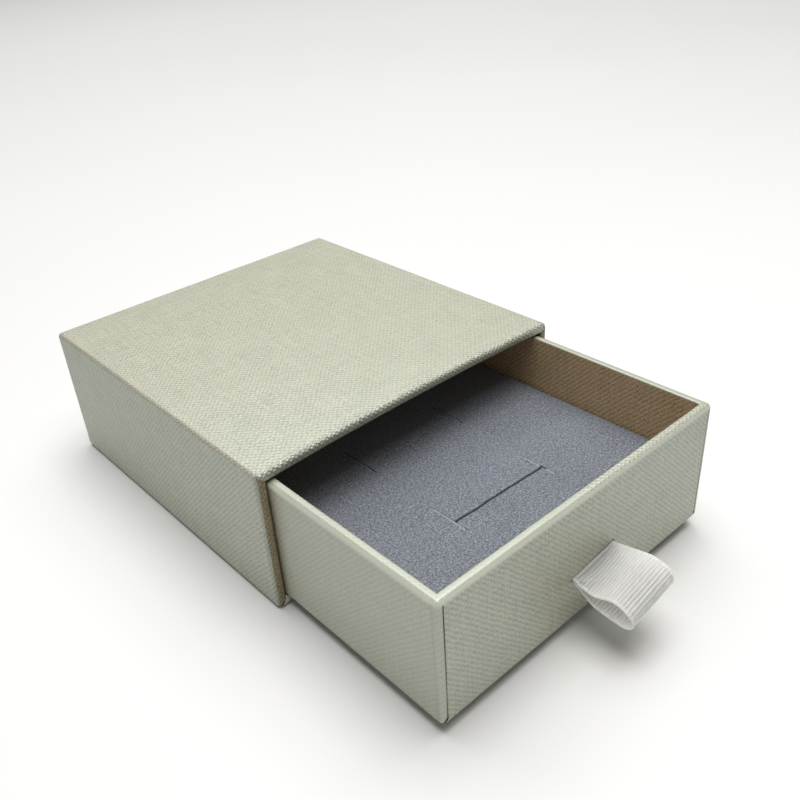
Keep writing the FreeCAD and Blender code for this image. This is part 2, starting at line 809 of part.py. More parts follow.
def ribbon_tails():
    """The two ends of the ribbon, through the slot and glued down the inside of the front wall."""
    layers = []
    inlet = "tray_front + ribbon_thick - ribbon_bend + slot_clear / 2"
    for name, top, gap in (
        ("tail_lower", "0", "0"),
        ("tail_upper", "ribbon_thick", "ribbon_thick"),
    ):
        body = new_ribbon_body(name)
        sketch = new_sketch(body, "YZ_Plane")
        inner = f"pan_front + {gap}"
        closed_outline(
            sketch,
            [
                (inlet, f"{top} - ribbon_thick"),
                (inner, f"{top} - ribbon_thick"),
                (inner, "tail_foot - ribbon_z"),
                (f"{inner} + ribbon_thick", "tail_foot - ribbon_z"),
                (f"{inner} + ribbon_thick", top),
                (inlet, top),
            ],
        )
        padded(body, sketch, "ribbon_width", both_ways=True)
        layers.append(body)
    pair = doc.addObject("Part::Compound", "tails")
    pair.Links = layers
    patch = block(
        "patch",
        (
            "ribbon_shift - ribbon_width / 2 - patch_over",
            "pan_front + 2 * ribbon_thick",
            "tail_foot",
        ),
        (
            "ribbon_shift + ribbon_width / 2 + patch_over",
            "pan_front + 2 * ribbon_thick + lining_paper",
            "ribbon_z - 1.5 * ribbon_thick",
        ),
    )
    return pair, patch


# --------------------------------------------------------------------------- the whole box
def build():
    """Every sub-part, by the name of its node."""
    parts = {}
    outside, core = sleeve_core()
    edge_stays, back_stays = sleeve_stays(outside)
    parts.update(sleeve_boards(core, (edge_stays, back_stays)))
    parts["sleeve_edge_stays"] = edge_stays
    parts["sleeve_back_stays"] = back_stays
    parts["sleeve_wall_lining"], parts["sleeve_back_lining"] = sleeve_lining()
    parts["sleeve_base_sheet"] = sleeve_base_sheet()
    parts["sleeve_wrap"] = sleeve_wrap(core, parts["sleeve_base_sheet"])
    parts["sleeve_back_sheet"] = sleeve_back_sheet()
    parts["sleeve_base_infill"], parts["sleeve_back_infill"] = sleeve_infills()

    shell = drawer_shell()
    stays = drawer_stays()
    slot = ribbon_slot()
    parts.update(drawer_boards(shell, stays, slot))
    parts["drawer_corner_stays"] = stays
    parts["drawer_wrap"] = drawer_wrap(shell, slot)
    parts["drawer_floor_lining"] = floor_lining()
    parts["insert_foam"], parts["insert_velvet"] = insert()
    parts["ribbon_loop"] = ribbon_loop()
    parts["ribbon_tails"], parts["ribbon_patch"] = ribbon_tails()
    for node, part in parts.items():
        part.Label = node
    doc.recompute()
    return parts


def check(parts):
    """Stops the script if any object failed or any sub-part isn't a sound solid."""
    for item in doc.Objects:
        if "Invalid" in item.State or "Error" in item.State:
            raise RuntimeError(f"{item.Label} did not recompute: {item.State}")
    for node, part in parts.items():
        if part.Shape.isNull() or not part.Shape.isValid() or not part.Shape.Solids:
            raise RuntimeError(f"{node} has no sound solid")


os.makedirs("parts", exist_ok=True)
PARTS = build()
check(PARTS)
for node, part in PARTS.items():
    part.Shape.exportStep(f"parts/{node}.step")
    print(f"{node}: {len(part.Shape.Solids)} solid(s), {part.Shape.Volume:.2f} mm3")
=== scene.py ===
"""Looks of the sliding drawer gift box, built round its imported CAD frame.

Lengths are metres, as in the frame; MM turns millimetres into them.  The sleeve's mouth faces -Y and
the drawer slides out of it.  Paper is laid out by an unfolding: its UV map is the flat sheet, in
millimetres, so that the embossed ribs run on round every fold.
"""

import json
import math
from typing import NamedTuple

import bmesh
import bpy
import numpy as np
from mathutils import Matrix, Vector, noise


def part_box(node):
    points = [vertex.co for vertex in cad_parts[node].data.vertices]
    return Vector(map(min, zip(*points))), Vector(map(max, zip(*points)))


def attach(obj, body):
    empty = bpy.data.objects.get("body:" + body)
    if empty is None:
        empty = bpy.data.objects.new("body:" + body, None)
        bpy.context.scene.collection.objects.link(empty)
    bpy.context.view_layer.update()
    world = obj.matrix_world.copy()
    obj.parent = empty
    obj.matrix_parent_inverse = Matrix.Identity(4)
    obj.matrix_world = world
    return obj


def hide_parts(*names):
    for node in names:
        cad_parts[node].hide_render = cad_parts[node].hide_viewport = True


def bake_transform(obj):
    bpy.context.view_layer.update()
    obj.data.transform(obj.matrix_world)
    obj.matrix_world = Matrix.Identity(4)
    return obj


MM = 0.001
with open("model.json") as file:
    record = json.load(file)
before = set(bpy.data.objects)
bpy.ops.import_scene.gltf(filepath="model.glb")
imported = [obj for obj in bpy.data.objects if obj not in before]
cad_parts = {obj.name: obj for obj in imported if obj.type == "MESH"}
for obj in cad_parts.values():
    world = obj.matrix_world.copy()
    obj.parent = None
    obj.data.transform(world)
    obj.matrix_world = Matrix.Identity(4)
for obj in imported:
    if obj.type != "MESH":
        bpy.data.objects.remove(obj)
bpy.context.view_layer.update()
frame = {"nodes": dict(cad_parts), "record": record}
SHEET = "sheet"  # UV map that holds the flat paper or ribbon, in millimetres
WEAR_AND_LIGHT = "wear_and_light"  # colour attribute: red, depth of the emboss; green, dark of a cut edge and painted shade; blue, rubbed pale and painted highlight
POINT_GAP = 1e-6  # points closer than this are one
PLANE_GAP = 1e-7  # a point closer to a cutting plane than this lies on it
WANDER_SEED = 1
noise.seed_set(WANDER_SEED)  # noise_vector is shifted by a draw from the clock if this isn't set

# --------------------------------------------------------------------------- sizes read from the frame
SLEEVE_LOW, SLEEVE_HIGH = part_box("sleeve_wrap")
DRAWER_LOW, DRAWER_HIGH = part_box("drawer_wrap")
PAD_LOW, PAD_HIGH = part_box("insert_velvet")
FOAM_LOW, FOAM_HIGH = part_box("insert_foam")
SLEEVE_HALF = SLEEVE_HIGH.x
SLEEVE_TOP = SLEEVE_HIGH.z
MOUTH_Y = SLEEVE_LOW.y
BACK_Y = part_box("sleeve_back_sheet")[1].y
DRAWER_HALF = DRAWER_HIGH.x
DRAWER_FRONT = DRAWER_LOW.y
DRAWER_BACK = DRAWER_HIGH.y
DRAWER_FLOOR = DRAWER_LOW.z
RIM = DRAWER_HIGH.z

# --------------------------------------------------------------------------- sizes of the paper's work
PAPER = 0.25 * MM
SLEEVE_WALL = 2.1 * MM  # board with its paper inside and out
DRAWER_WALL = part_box("drawer_front_board")[1].y - DRAWER_FRONT + PAPER
ROLL = 1.1 * MM  # width that the drawer's rolled outer edges take up
BOW = 0.95 * MM  # rise of the sleeve's top in the middle of its mouth
BOW_AT_BACK = 0.18  # share of the bow that is left behind
SEAM_X = DRAWER_HALF - 1.3 * MM  # upright seam of the drawer's paper, near each corner
SEAM_HALF = 0.20 * MM  # half of the dark line that an upright seam shows
SEAM_FOOT = DRAWER_FLOOR + 1.7 * MM  # where a seam turns off into the drawer's corner
NOTCH = 0.65 * MM  # how far the notch at a seam's foot runs back to the corner


# --------------------------------------------------------------------------- smooth steps
def rise(value, low, high):
    """0 below low, 1 above high, smooth between them."""
    share = min(1.0, max(0.0, (value - low) / (high - low)))
    return share * share * (3 - 2 * share)


def near(value, place, reach):
    """1 at a place, falling to 0 at a distance from it."""
    return max(0.0, 1.0 - abs(value - place) / reach)


def fade(past, length):
    """1 before the end of something, 0 a length past it."""
    return 1.0 - min(1.0, max(0.0, past / length)) ** 2


# --------------------------------------------------------------------------- shader nodes
class Shader:
    """One procedural material and short calls that add nodes to it."""

    def __init__(self, name, **values):
        self.material = bpy.data.materials.new(name)
        self.material.use_nodes = True
        self.tree = self.material.node_tree
        self.surface = self.tree.nodes["Principled BSDF"]
        for socket, value in values.items():
            self.surface.inputs[socket.replace("_", " ")].default_value = value

    def add(self, kind, inputs=None, **settings):
        """A node with its settings, and its inputs linked or set."""
        node = self.tree.nodes.new("ShaderNode" + kind)
        for key, setting in settings.items():
            setattr(node, key, setting)
        for key, value in (inputs or {}).items():
            self.feed(node.inputs[key], value)
        return node

    def feed(self, socket, value):
        if isinstance(value, bpy.types.NodeSocket):
            self.tree.links.new(value, socket)
        else:
            socket.default_value = value

    def math(self, operation, first, second=0.0, third=0.0):
        inputs = {0: first, 1: second, 2: third}
        return self.add("Math", inputs, operation=operation).outputs[0]

    def vector(self, operation, inputs):
        return self.add("VectorMath", inputs, operation=operation).outputs[0]

    def sheet(self):
        """Where the surface is on the flat sheet, in millimetres."""
        return self.add("UVMap", uv_map=SHEET).outputs[0]

    def place(self):
        """Where the surface is on its object, in metres."""
        return self.add("TexCoord").outputs["Object"]

    def wear_and_light(self):
        """The red, green and blue of the attribute that holds wear and painted light."""
        colour = self.add("Attribute", attribute_name=WEAR_AND_LIGHT).outputs["Color"]
        return self.add("SeparateColor", {"Color": colour}).outputs[:3]

    def noise(self, vector, scale, detail=2.0, roughness=0.5):
        inputs = {"Vector": vector, "Scale": scale, "Detail": detail, "Roughness": roughness}
        return self.add("TexNoise", inputs).outputs["Fac"]

    def stretched(self, vector, rates, turn=0.0):
        """Noise drawn out into streaks: rates per unit across and along them, turned by degrees."""
        angle = (0.0, 0.0, math.radians(turn))
        inputs = {"Vector": vector, "Rotation": angle, "Scale": (*rates, 1.0)}
        return self.noise(self.add("Mapping", inputs).outputs[0], scale=1.0)

    def clamp(self, value):
        return self.add("Clamp", {"Value": value}).outputs[0]

    def ramp(self, factor, *stops):
        """stops are (position, colour) pairs; a colour is a number or three of them."""
        node = self.add("ValToRGB", {"Fac": factor})
        points = node.color_ramp.elements
        while len(points) < len(stops):
            points.new(0.5)
        for point, (position, colour) in zip(points, stops):
            point.position = position
            rgb = (colour,) * 3 if isinstance(colour, (int, float)) else colour
            point.color = (*rgb, 1.0)
        return node.outputs["Color"]

    def mix(self, factor, first, second):
        """The first colour where the factor is 0, the second where it is 1."""
        node = self.add("Mix", data_type="RGBA")
        for key, value in ((0, factor), (6, first), (7, second)):
            rgb = isinstance(value, tuple)
            self.feed(node.inputs[key], (*value, 1.0) if rgb else value)
        return node.outputs[2]

    def bump(self, height, depth, strength=1.0):
        """Relief of the surface and of its coat."""
        inputs = {"Height": height, "Distance": depth, "Strength": strength}
        node = self.add("Bump", inputs)
        for socket in ("Normal", "Coat Normal"):
            self.feed(self.surface.inputs[socket], node.outputs["Normal"])

    def finish(self, colour, roughness=None):
        """The finished material, in its colour."""
        self.feed(self.surface.inputs["Base Color"], colour)
        if roughness is not None:
            self.feed(self.surface.inputs["Roughness"], roughness)
        return self.material


# --------------------------------------------------------------------------- paper and board
RIB_RATE = 0.775  # ribs per millimetre, along either edge of the sheet; the ribs lie at 45 degrees
RIB_DEPTH = 0.06 * MM
RIB_WANDER = 0.7  # millimetres
LEVEL = 0.56  # how far flat paper is from a valley to a crest
PEARL = (0.84, 1.0, 0.95, 1.0)  # tint of the paper's gloss
OUTSIDE = ((0.44, 0.385, 0.275), (0.16, 0.13, 0.085))  # crests and valleys of the emboss; the valleys' darker tone is painted shade
TURNED_IN_SHADED = ((0.63, 0.46, 0.275), (0.30, 0.21, 0.115))  # painted shade: the same paper, tan and without its gloss, where the sheet is turned in
RUBBED_AND_LIT = (0.56, 0.55, 0.45)  # paper rubbed smooth and pale, also the painted highlight on the drawer's rolled rim
CUT_EDGE_AND_SHADE = (0.135, 0.135, 0.075)  # dark of a cut edge, and painted shade in a fold, a crease, the mouth's strip and the rim's top


def twill(shader, sheet):
    """Height of the emboss: two crossing sets of ribs that join in beads, broken by strokes."""
    stray = shader.add("TexNoise", {"Vector": sheet, "Scale": 0.45, "Detail": 2.0}).outputs["Color"]
    shift = shader.vector("SUBTRACT", {0: stray, 1: (0.5, 0.5, 0.5)})
    nudge = shader.vector("SCALE", {0: shift, "Scale": RIB_WANDER})
    axes = shader.add("SeparateXYZ", {0: shader.vector("ADD", {0: sheet, 1: nudge})}).outputs
    across = shader.math("MULTIPLY", axes[0], 2 * math.pi * RIB_RATE)
    along = shader.math("MULTIPLY", axes[1], 2 * math.pi * RIB_RATE)
    rising = shader.math("COSINE", shader.math("ADD", across, along))
    falling = shader.math("COSINE", shader.math("SUBTRACT", across, along))
    column = shader.math("COSINE", shader.math("MULTIPLY", across, 2.0))
    streaks = shader.stretched(sheet, (1.5, 0.32), turn=-45.0)
    patches = shader.stretched(sheet, (1.3, 1.3))
    strokes = shader.stretched(sheet, (3.4, 1.0), turn=45.0)
    weft = shader.stretched(sheet, (2.0, 0.10))
    warp = shader.stretched(sheet, (0.10, 2.0))
    fibre = shader.noise(sheet, scale=2.6, detail=3.0, roughness=0.65)
    parts = (  # each wave or noise about its middle, and its share of the height
        (rising, shader.math("MULTIPLY_ADD", streaks, 0.75, -0.15)),
        (falling, shader.math("MULTIPLY_ADD", patches, 0.42, -0.07)),
        (column, 0.08),
        (shader.math("SUBTRACT", strokes, 0.5), 1.1),
        (shader.math("SUBTRACT", shader.math("ADD", weft, warp), 1.0), 0.8),
        (shader.math("SUBTRACT", fibre, 0.5), 0.7),
    )
    height = 0.0
    for wave, share in parts:
        height = shader.math("MULTIPLY_ADD", wave, share, height)
    return height


def embossed_paper(name, tones, **gloss):
    """Champagne paper, embossed with a fine twill, darker in its valleys by painted shade, and marked by its
    wear and painted light.
    """
    shader = Shader(name, **gloss)
    sheet = shader.sheet()
    relief, cut, rubbed = shader.wear_and_light()
    height = shader.math("MULTIPLY", twill(shader, sheet), relief)
    crest, shaded_valley = tones
    cloud = shader.noise(sheet, scale=0.05, detail=4.0, roughness=0.6)
    pale = shader.ramp(cloud, (0.3, crest), (0.7, tuple(1.05 * c for c in crest)))
    raised = shader.clamp(shader.math("ADD", height, LEVEL))
    # painted shade: the valleys darker than the crests
    colour = shader.mix(raised, shaded_valley, pale)
    # rubbed pale paper and painted highlight, from the blue of the attribute
    colour = shader.mix(rubbed, colour, RUBBED_AND_LIT)
    # painted shade, and the dark of cut edges, from the green of the attribute
    colour = shader.mix(cut, colour, CUT_EDGE_AND_SHADE)
    shader.bump(height, RIB_DEPTH)
    return shader.finish(colour)


def plain_paper(name, dark, light):
    """Uncoated paper or board: short fibres, a little mottling."""
    shader = Shader(name)
    spot = shader.place()
    fibres = shader.add("Mapping", {"Vector": spot, "Scale": (1.0, 0.25, 1.0)}).outputs[0]
    fine = shader.noise(fibres, scale=1800.0, detail=4.0, roughness=0.7)
    cloud = shader.noise(spot, scale=108.0, detail=3.0)
    both = shader.math("MULTIPLY_ADD", fine, 0.6, shader.math("MULTIPLY", cloud, 0.4))
    shader.bump(fine, 0.03 * MM, strength=0.6)
    return shader.finish(shader.ramp(both, (0.35, dark), (0.65, light)), roughness=0.8)


# --------------------------------------------------------------------------- velvet, foam and ribbon
PILE = ((0.058, 0.065, 0.078), (0.140, 0.155, 0.184), (0.30, 0.325, 0.37))  # dark, middle and light
LIT_LIP_PILE = (0.36, 0.39, 0.43)  # painted highlight on a slit's raised lip
SLIT_SHADE_PILE = (0.004, 0.004, 0.006)  # painted shade down a slit
RIBBON_TONES = ((0.75, 0.74, 0.67), (0.81, 0.81, 0.76))
WARP_PITCH = 0.32  # millimetres from thread to thread across the ribbon


def velvet():
    """Flocked velvet: speckled pile with a soft sheen, a painted highlight on a raised lip, painted shade
    down a slit.
    """
    shader = Shader("grey_velvet", Sheen_Weight=0.35, Sheen_Roughness=0.5, Specular_IOR_Level=0.15)
    spot = shader.place()
    pile = shader.noise(spot, scale=4400.0, detail=1.0)
    tuft = shader.noise(spot, scale=2100.0, detail=1.0)
    brushed = shader.noise(spot, scale=60.0, detail=4.0, roughness=0.6)
    both = shader.math("MULTIPLY_ADD", pile, 0.62, shader.math("MULTIPLY", tuft, 0.38))
    mixed = shader.math("MULTIPLY_ADD", brushed, 0.06, shader.math("MULTIPLY", both, 0.94))
    _, cut, raised = shader.wear_and_light()
    colour = shader.ramp(mixed, *zip((0.36, 0.5, 0.64), PILE))
    # painted highlight on a slit's raised lip
    colour = shader.mix(raised, colour, LIT_LIP_PILE)
    # painted shade down a slit
    colour = shader.mix(cut, colour, SLIT_SHADE_PILE)
    shader.bump(both, 0.12 * MM, strength=0.8)
    return shader.finish(colour, roughness=0.95)


def slit_shade():
    """Painted shade: near black, for the faces deep down a knife cut."""
    shader = Shader("slit_shade", Specular_IOR_Level=0.0)
    cloud = shader.noise(shader.place(), scale=500.0)
    return shader.finish(shader.ramp(cloud, (0.3, 0.002), (0.7, 0.004)), roughness=1.0)


def sponge():
    """Open-cell sponge under the velvet."""
    shader = Shader("grey_sponge", Specular_IOR_Level=0.2)
    cells = shader.add("TexVoronoi", {"Vector": shader.place(), "Scale": 1800.0}).outputs["Distance"]
    shader.bump(cells, 0.2 * MM)
    return shader.finish(shader.ramp(cells, (0.0, 0.03), (0.6, 0.16)), roughness=0.95)


def grosgrain():
    """Ivory grosgrain: the ribs are in the mesh, the threads that cross them are here."""
    shader = Shader(
        "ivory_grosgrain",
        Sheen_Weight=0.25,
        Sheen_Roughness=0.4,
        Subsurface_Weight=1.0,
        Subsurface_Scale=3.0 * MM,
        Subsurface_Radius=(1.0, 1.0, 0.96),
    )
    sheet = shader.sheet()
    across = shader.add("SeparateXYZ", {0: sheet}).outputs[0]
    warp = shader.math("SINE", shader.math("MULTIPLY", across, 2 * math.pi / WARP_PITCH))
    fuzz = shader.noise(sheet, scale=4.0, detail=4.0, roughness=0.7)
    cloud = shader.noise(sheet, scale=0.5, detail=3.0)
    shader.bump(shader.math("MULTIPLY_ADD", warp, 0.3, fuzz), 0.04 * MM, strength=0.7)
    return shader.finish(shader.ramp(cloud, *zip((0.3, 0.7), RIBBON_TONES)), roughness=0.5)


def floor_paper():
    """Plain pale studio sweep."""
    shader = Shader("studio_floor", Specular_IOR_Level=0.1)
    cloud = shader.noise(shader.place(), scale=3.0)
    return shader.finish(shader.ramp(cloud, (0.3, 0.73), (0.7, 0.75)), roughness=0.9)


MATERIALS = {
    "cover_paper": embossed_paper(
        "pearl_twill_paper", OUTSIDE, IOR=2.2, Specular_IOR_Level=1.0, Specular_Tint=PEARL, Roughness=0.5
    ),
    "greyboard": plain_paper("greyboard", (0.16, 0.13, 0.10), (0.30, 0.26, 0.21)),
    "kraft_tape": plain_paper("kraft_tape", (0.22, 0.13, 0.06), (0.34, 0.22, 0.11)),
    "lining_paper": plain_paper("lining_paper", (0.66, 0.65, 0.60), (0.80, 0.79, 0.74)),
    "foam": sponge(),
    "velvet": velvet(),
    "ribbon": grosgrain(),
}
# a copy of the paper, tan and without gloss, with its shade painted in, for where the sheet is turned in
PAPER_INSIDE_SHADED = embossed_paper("pearl_twill_turned_in_shaded", TURNED_IN_SHADED, Roughness=0.6)
PAPER_EDGE = plain_paper("cut_paper_edge", (0.045, 0.028, 0.013), (0.10, 0.065, 0.032))


# --------------------------------------------------------------------------- meshes
def slot_of(node):
    """A CAD node's material slot in the record."""
    parts = frame["record"]["subparts"]
    return next(part["material_slot"] for part in parts if part["node"] == node)


def linked(name, bm, slot, body=None):
    """An object for a finished mesh, with its material slot's finish, riding on a body."""
    mesh = bpy.data.meshes.new(name)
    bm.to_mesh(mesh)
    bm.free()
    piece = bpy.data.objects.new(name, mesh)
    bpy.context.scene.collection.objects.link(piece)
    mesh.materials.append(MATERIALS[slot])
    if body:
        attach(piece, body)
    return piece


def smooth(piece):
    """Shades every face smooth."""
    mesh = piece.data
    mesh.polygons.foreach_set("use_smooth", [True] * len(mesh.polygons))


def crease(piece, angle):
    """Smooth, with creases where faces meet at more than the angle, and flats that stay flat."""
    smooth(piece)
    piece.data.set_sharp_from_angle(angle=math.radians(angle))
    weigh = piece.modifiers.new("flat_flats", "WEIGHTED_NORMAL")
    weigh.keep_sharp = True
    weigh.weight = 90


def joined(*nodes):
    """The meshes of CAD nodes as one, with points that lie together joined."""
    bm = bmesh.new()
    for node in nodes:
        bm.from_mesh(frame["nodes"][node].data)
    bmesh.ops.remove_doubles(bm, verts=bm.verts[:], dist=POINT_GAP)
    return bm


def cut_by_planes(bm, axis, places):
    """Splits the faces along planes square to one axis."""
    normal = Vector([float(i == axis) for i in range(3)])
    for place in places:
        parts = bm.verts[:] + bm.edges[:] + bm.faces[:]
        bmesh.ops.bisect_plane(bm, geom=parts, plane_co=normal * place, plane_no=normal, dist=PLANE_GAP)


def cut_into_cells(bm, cell):
    """Splits the faces along all three axes into cells of about one size."""
    for axis in range(3):
        low = min(v.co[axis] for v in bm.verts)
        high = max(v.co[axis] for v in bm.verts)
        count = max(1, round((high - low) / cell))
        cut_by_planes(bm, axis, [low + (high - low) * (i + 0.5) / count for i in range(count)])


# --------------------------------------------------------------------------- unfolding of the papers
FLAP = 1.0 * MM  # the paper and its flaps lie within this of the sleeve's outside
DRAWER_MIDDLE = (DRAWER_FRONT + DRAWER_BACK) / 2


def unfold_sleeve(point, middle):
    """The sleeve's sheet: across its width and round its sides, and along its depth."""
    side = 1.0 if middle.x > 0 else -1.0
    from_side = SLEEVE_HALF - abs(point.x)
    from_top = SLEEVE_TOP - point.z
    face_from_side = SLEEVE_HALF - abs(middle.x)
    face_from_top = SLEEVE_TOP - middle.z
    at_side = face_from_side < face_from_top
    inside = min(face_from_side, face_from_top) > FLAP
    if middle.z < FLAP:  # flaps under the base
        return side * (SLEEVE_HALF + from_top + from_side), point.y
    if middle.y > BACK_Y - FLAP:  # flaps on the back
        if at_side:
            return side * (SLEEVE_HALF + from_top), point.y + from_side
        return point.x, point.y + from_top
    if middle.y < MOUTH_Y + FLAP or inside:  # rolled over the mouth's edge and turned in
        depth = 2 * MOUTH_Y - point.y if inside else point.y
        if at_side:
            return side * (SLEEVE_HALF + from_top), depth - from_side
        return point.x, depth - from_top
    return side * (abs(point.x) + from_top), point.y


def unfold_base(point, middle):
    """The sheet under the sleeve, folded up over the sill."""
    return point.x, point.y - point.z


def unfold_back(point, middle):
    """The sheet on the sleeve's back."""
    return point.x, point.z


def nearer_end(middle):
    """The end of the drawer that a face is nearer to: 1 behind or -1 in front, and its place."""
    return (1.0, DRAWER_BACK) if middle.y > DRAWER_MIDDLE else (-1.0, DRAWER_FRONT)


def unfold_drawer(point, middle):
    """The drawer's sheet: its floor in the middle, the walls folded up from it and over the rim."""
    side = 1.0 if middle.x > 0 else -1.0
    facing, end = nearer_end(middle)
    in_from_side = DRAWER_HALF - abs(point.x)
    in_from_end = facing * (end - point.y)
    face_from_side = DRAWER_HALF - abs(middle.x)
    face_from_end = facing * (end - middle.y)
    wall = DRAWER_WALL + 0.1 * MM

    def climbed(face_from_outside):
        """The run up a wall, or up it and down again inside."""
        inner = face_from_outside > DRAWER_WALL * 0.6 and middle.z < RIM - 0.7 * MM
        up = point.z - DRAWER_FLOOR
        return (RIM - DRAWER_FLOOR) * 2 - up if inner else up

    if face_from_end < wall and abs(middle.x) < SEAM_X:
        return point.x, -(end + facing * (climbed(face_from_end) + in_from_end))
    if face_from_side < wall:
        round_corner = facing * in_from_side if face_from_end < ROLL else 0.0
        return side * (DRAWER_HALF + climbed(face_from_side) + in_from_side), -(point.y + round_corner)
    return point.x, -point.y


# --------------------------------------------------------------------------- wear and painted light of the papers
OUTSIDE_FACE, TURNED_SHADED_FACE, EDGE_FACE = range(3)  # the three finishes of a wrapped sheet; the turned-in one is a copy of the outside with shade painted in


class WearAndLight(NamedTuple):
    """How a place on the paper differs from the flat sheet: its wear, and the light and shade painted on it.
    """

    relief: float = 1.0  # depth of the emboss
    pale: float = 0.0  # rubbed until the valleys are as light as the crests; on the drawer's rolled rim also painted highlight
    cut: float = 0.0  # dark of a cut edge, and painted shade in the mouth's fold and strip, a corner's crease and the rim's top
    sink: float = 0.0  # pressed in, in metres
    finish: int = OUTSIDE_FACE


MOUTH_END = 0.5 * MM  # depth of the sleeve's end faces, with the start of their rolled edges
TURN_LINE = 0.35 * MM  # how far in from a side the turned-in finish starts on those faces
STRIP_SHADE = 0.65  # painted shade: how dark the turned-in strip is at the mouth
TOP_FOLD_SHADE, SIDE_FOLD_SHADE = 0.36, 0.6  # painted shade: how dark the outside gets as it folds over the mouth
LIP_SHADE = 0.22  # more painted shade towards the inner edge
MOUTH_PROUD = 1.8  # how much deeper the emboss is on the mouth's fold
MITRE_TOP = 2.2 * MM  # height of the mitred corner between the side's paper and the sill's
MITRE_LOW, MITRE_HIGH = -0.25 * MM, 0.65 * MM  # either side of its diagonal


def mouth_painted_shade(point, turned, along_top):
    """Painted shade on the sleeve's paper at its mouth: in its fold, and on the strip turned in."""
    deep = min(SLEEVE_HALF - abs(point.x), SLEEVE_TOP - point.z)
    if turned:
        # darkest in a line at the strip's inner edge: painted shade of the gap to the drawer
        return max(STRIP_SHADE, rise(deep, 1.7 * MM, 2.0 * MM))
    folded = 1.0 - rise(point.y, MOUTH_Y + 0.1 * MM, MOUTH_Y + 1.5 * MM)
    fold_shade = TOP_FOLD_SHADE if along_top else SIDE_FOLD_SHADE
    return fold_shade * folded + LIP_SHADE * rise(deep, 0.3 * MM, 1.7 * MM)


def wear_and_light_sleeve(point, middle):
    """The emboss stands proud on the mouth's fold; a strip of the mouth and all within is turned in; the
    fold and the strip get painted shade.
    """
    from_side, from_top = SLEEVE_HALF - abs(middle.x), SLEEVE_TOP - middle.z
    inmost = min(from_side, from_top)
    inside = inmost > SLEEVE_WALL - 0.3 * MM and middle.z > MM and middle.y < BACK_Y - MM
    along_top = from_top < from_side
    on_end = middle.y < MOUTH_Y + MOUTH_END
    # the strip turned in at the mouth and all within get the copy of the paper with painted shade
    turned = inside or (on_end and inmost > TURN_LINE and not along_top)
    mitred = on_end and middle.z < MITRE_TOP and MITRE_LOW < from_side - middle.z < MITRE_HIGH
    rolled = 1.0 - rise(point.y, MOUTH_Y + MOUTH_END, MOUTH_Y + 2.0 * MM)
    by_mouth = middle.y <= MOUTH_Y + 4 * MM
    return WearAndLight(
        relief=1.0 + MOUTH_PROUD * rolled,
        # painted shade in the mouth's fold and on its turned-in strip
        cut=mouth_painted_shade(point, turned, along_top) if by_mouth else 0.0,
        finish=EDGE_FACE if mitred else TURNED_SHADED_FACE if turned else OUTSIDE_FACE,
    )


def wear_plain(point, middle):
    """A sheet without wear."""
    return WearAndLight()


INSIDE_RELIEF = 0.9
CORNER_RELIEF, SIDE_RELIEF = 0.4, 0.5  # where the paper is pulled tight round a corner, and along a side
RIM_RELIEF, RIM_RELIEF_RIGHT = 0.28, 1.2  # what is left of it on the rim, and more on the right of the ends
CORNER_FOLD = 1.35 * MM  # from an end of the drawer to the crease where its corner's fold stops
# painted shade along the crease where a corner's fold stops, and how far the crease sinks
CREASE_SHADE, CREASE_SINK = 0.3, 0.08 * MM
CROWN_SHADE = 0.19  # painted shade darkening the top of the rim
SEAM_SINK, FOOT_SINK = 0.07 * MM, 0.2 * MM  # of an upright seam, and of the notch at its foot


def seam(point):
    """0 to 1: how near a place on an end of the drawer is to its seam or the notch at its foot."""
    across = abs(point.x) - SEAM_X
    if point.z > SEAM_FOOT:
        return near(across, 0.0, SEAM_HALF * 1.8)
    along = (SEAM_FOOT - point.z) / (SEAM_FOOT - DRAWER_FLOOR - 0.3 * MM)
    return near(across, along * NOTCH, SEAM_HALF * 3.2)


def drawer_relief(point, from_side, from_end, rubbed):
    """Depth of the emboss outside: more below the rim, less at corners and sides and where rubbed."""
    relief = 1.0 + 0.6 * rise(point.z, RIM - 3.0 * MM, RIM - 1.5 * MM)
    if max(from_side, from_end) < CORNER_FOLD:
        relief = CORNER_RELIEF
    elif from_side < 0.3 * MM:
        relief = SIDE_RELIEF
    left = RIM_RELIEF
    if from_end < DRAWER_WALL < from_side:
        left += RIM_RELIEF_RIGHT * rise(point.x, -12 * MM, 14 * MM)
    return relief + (left - relief) * rubbed


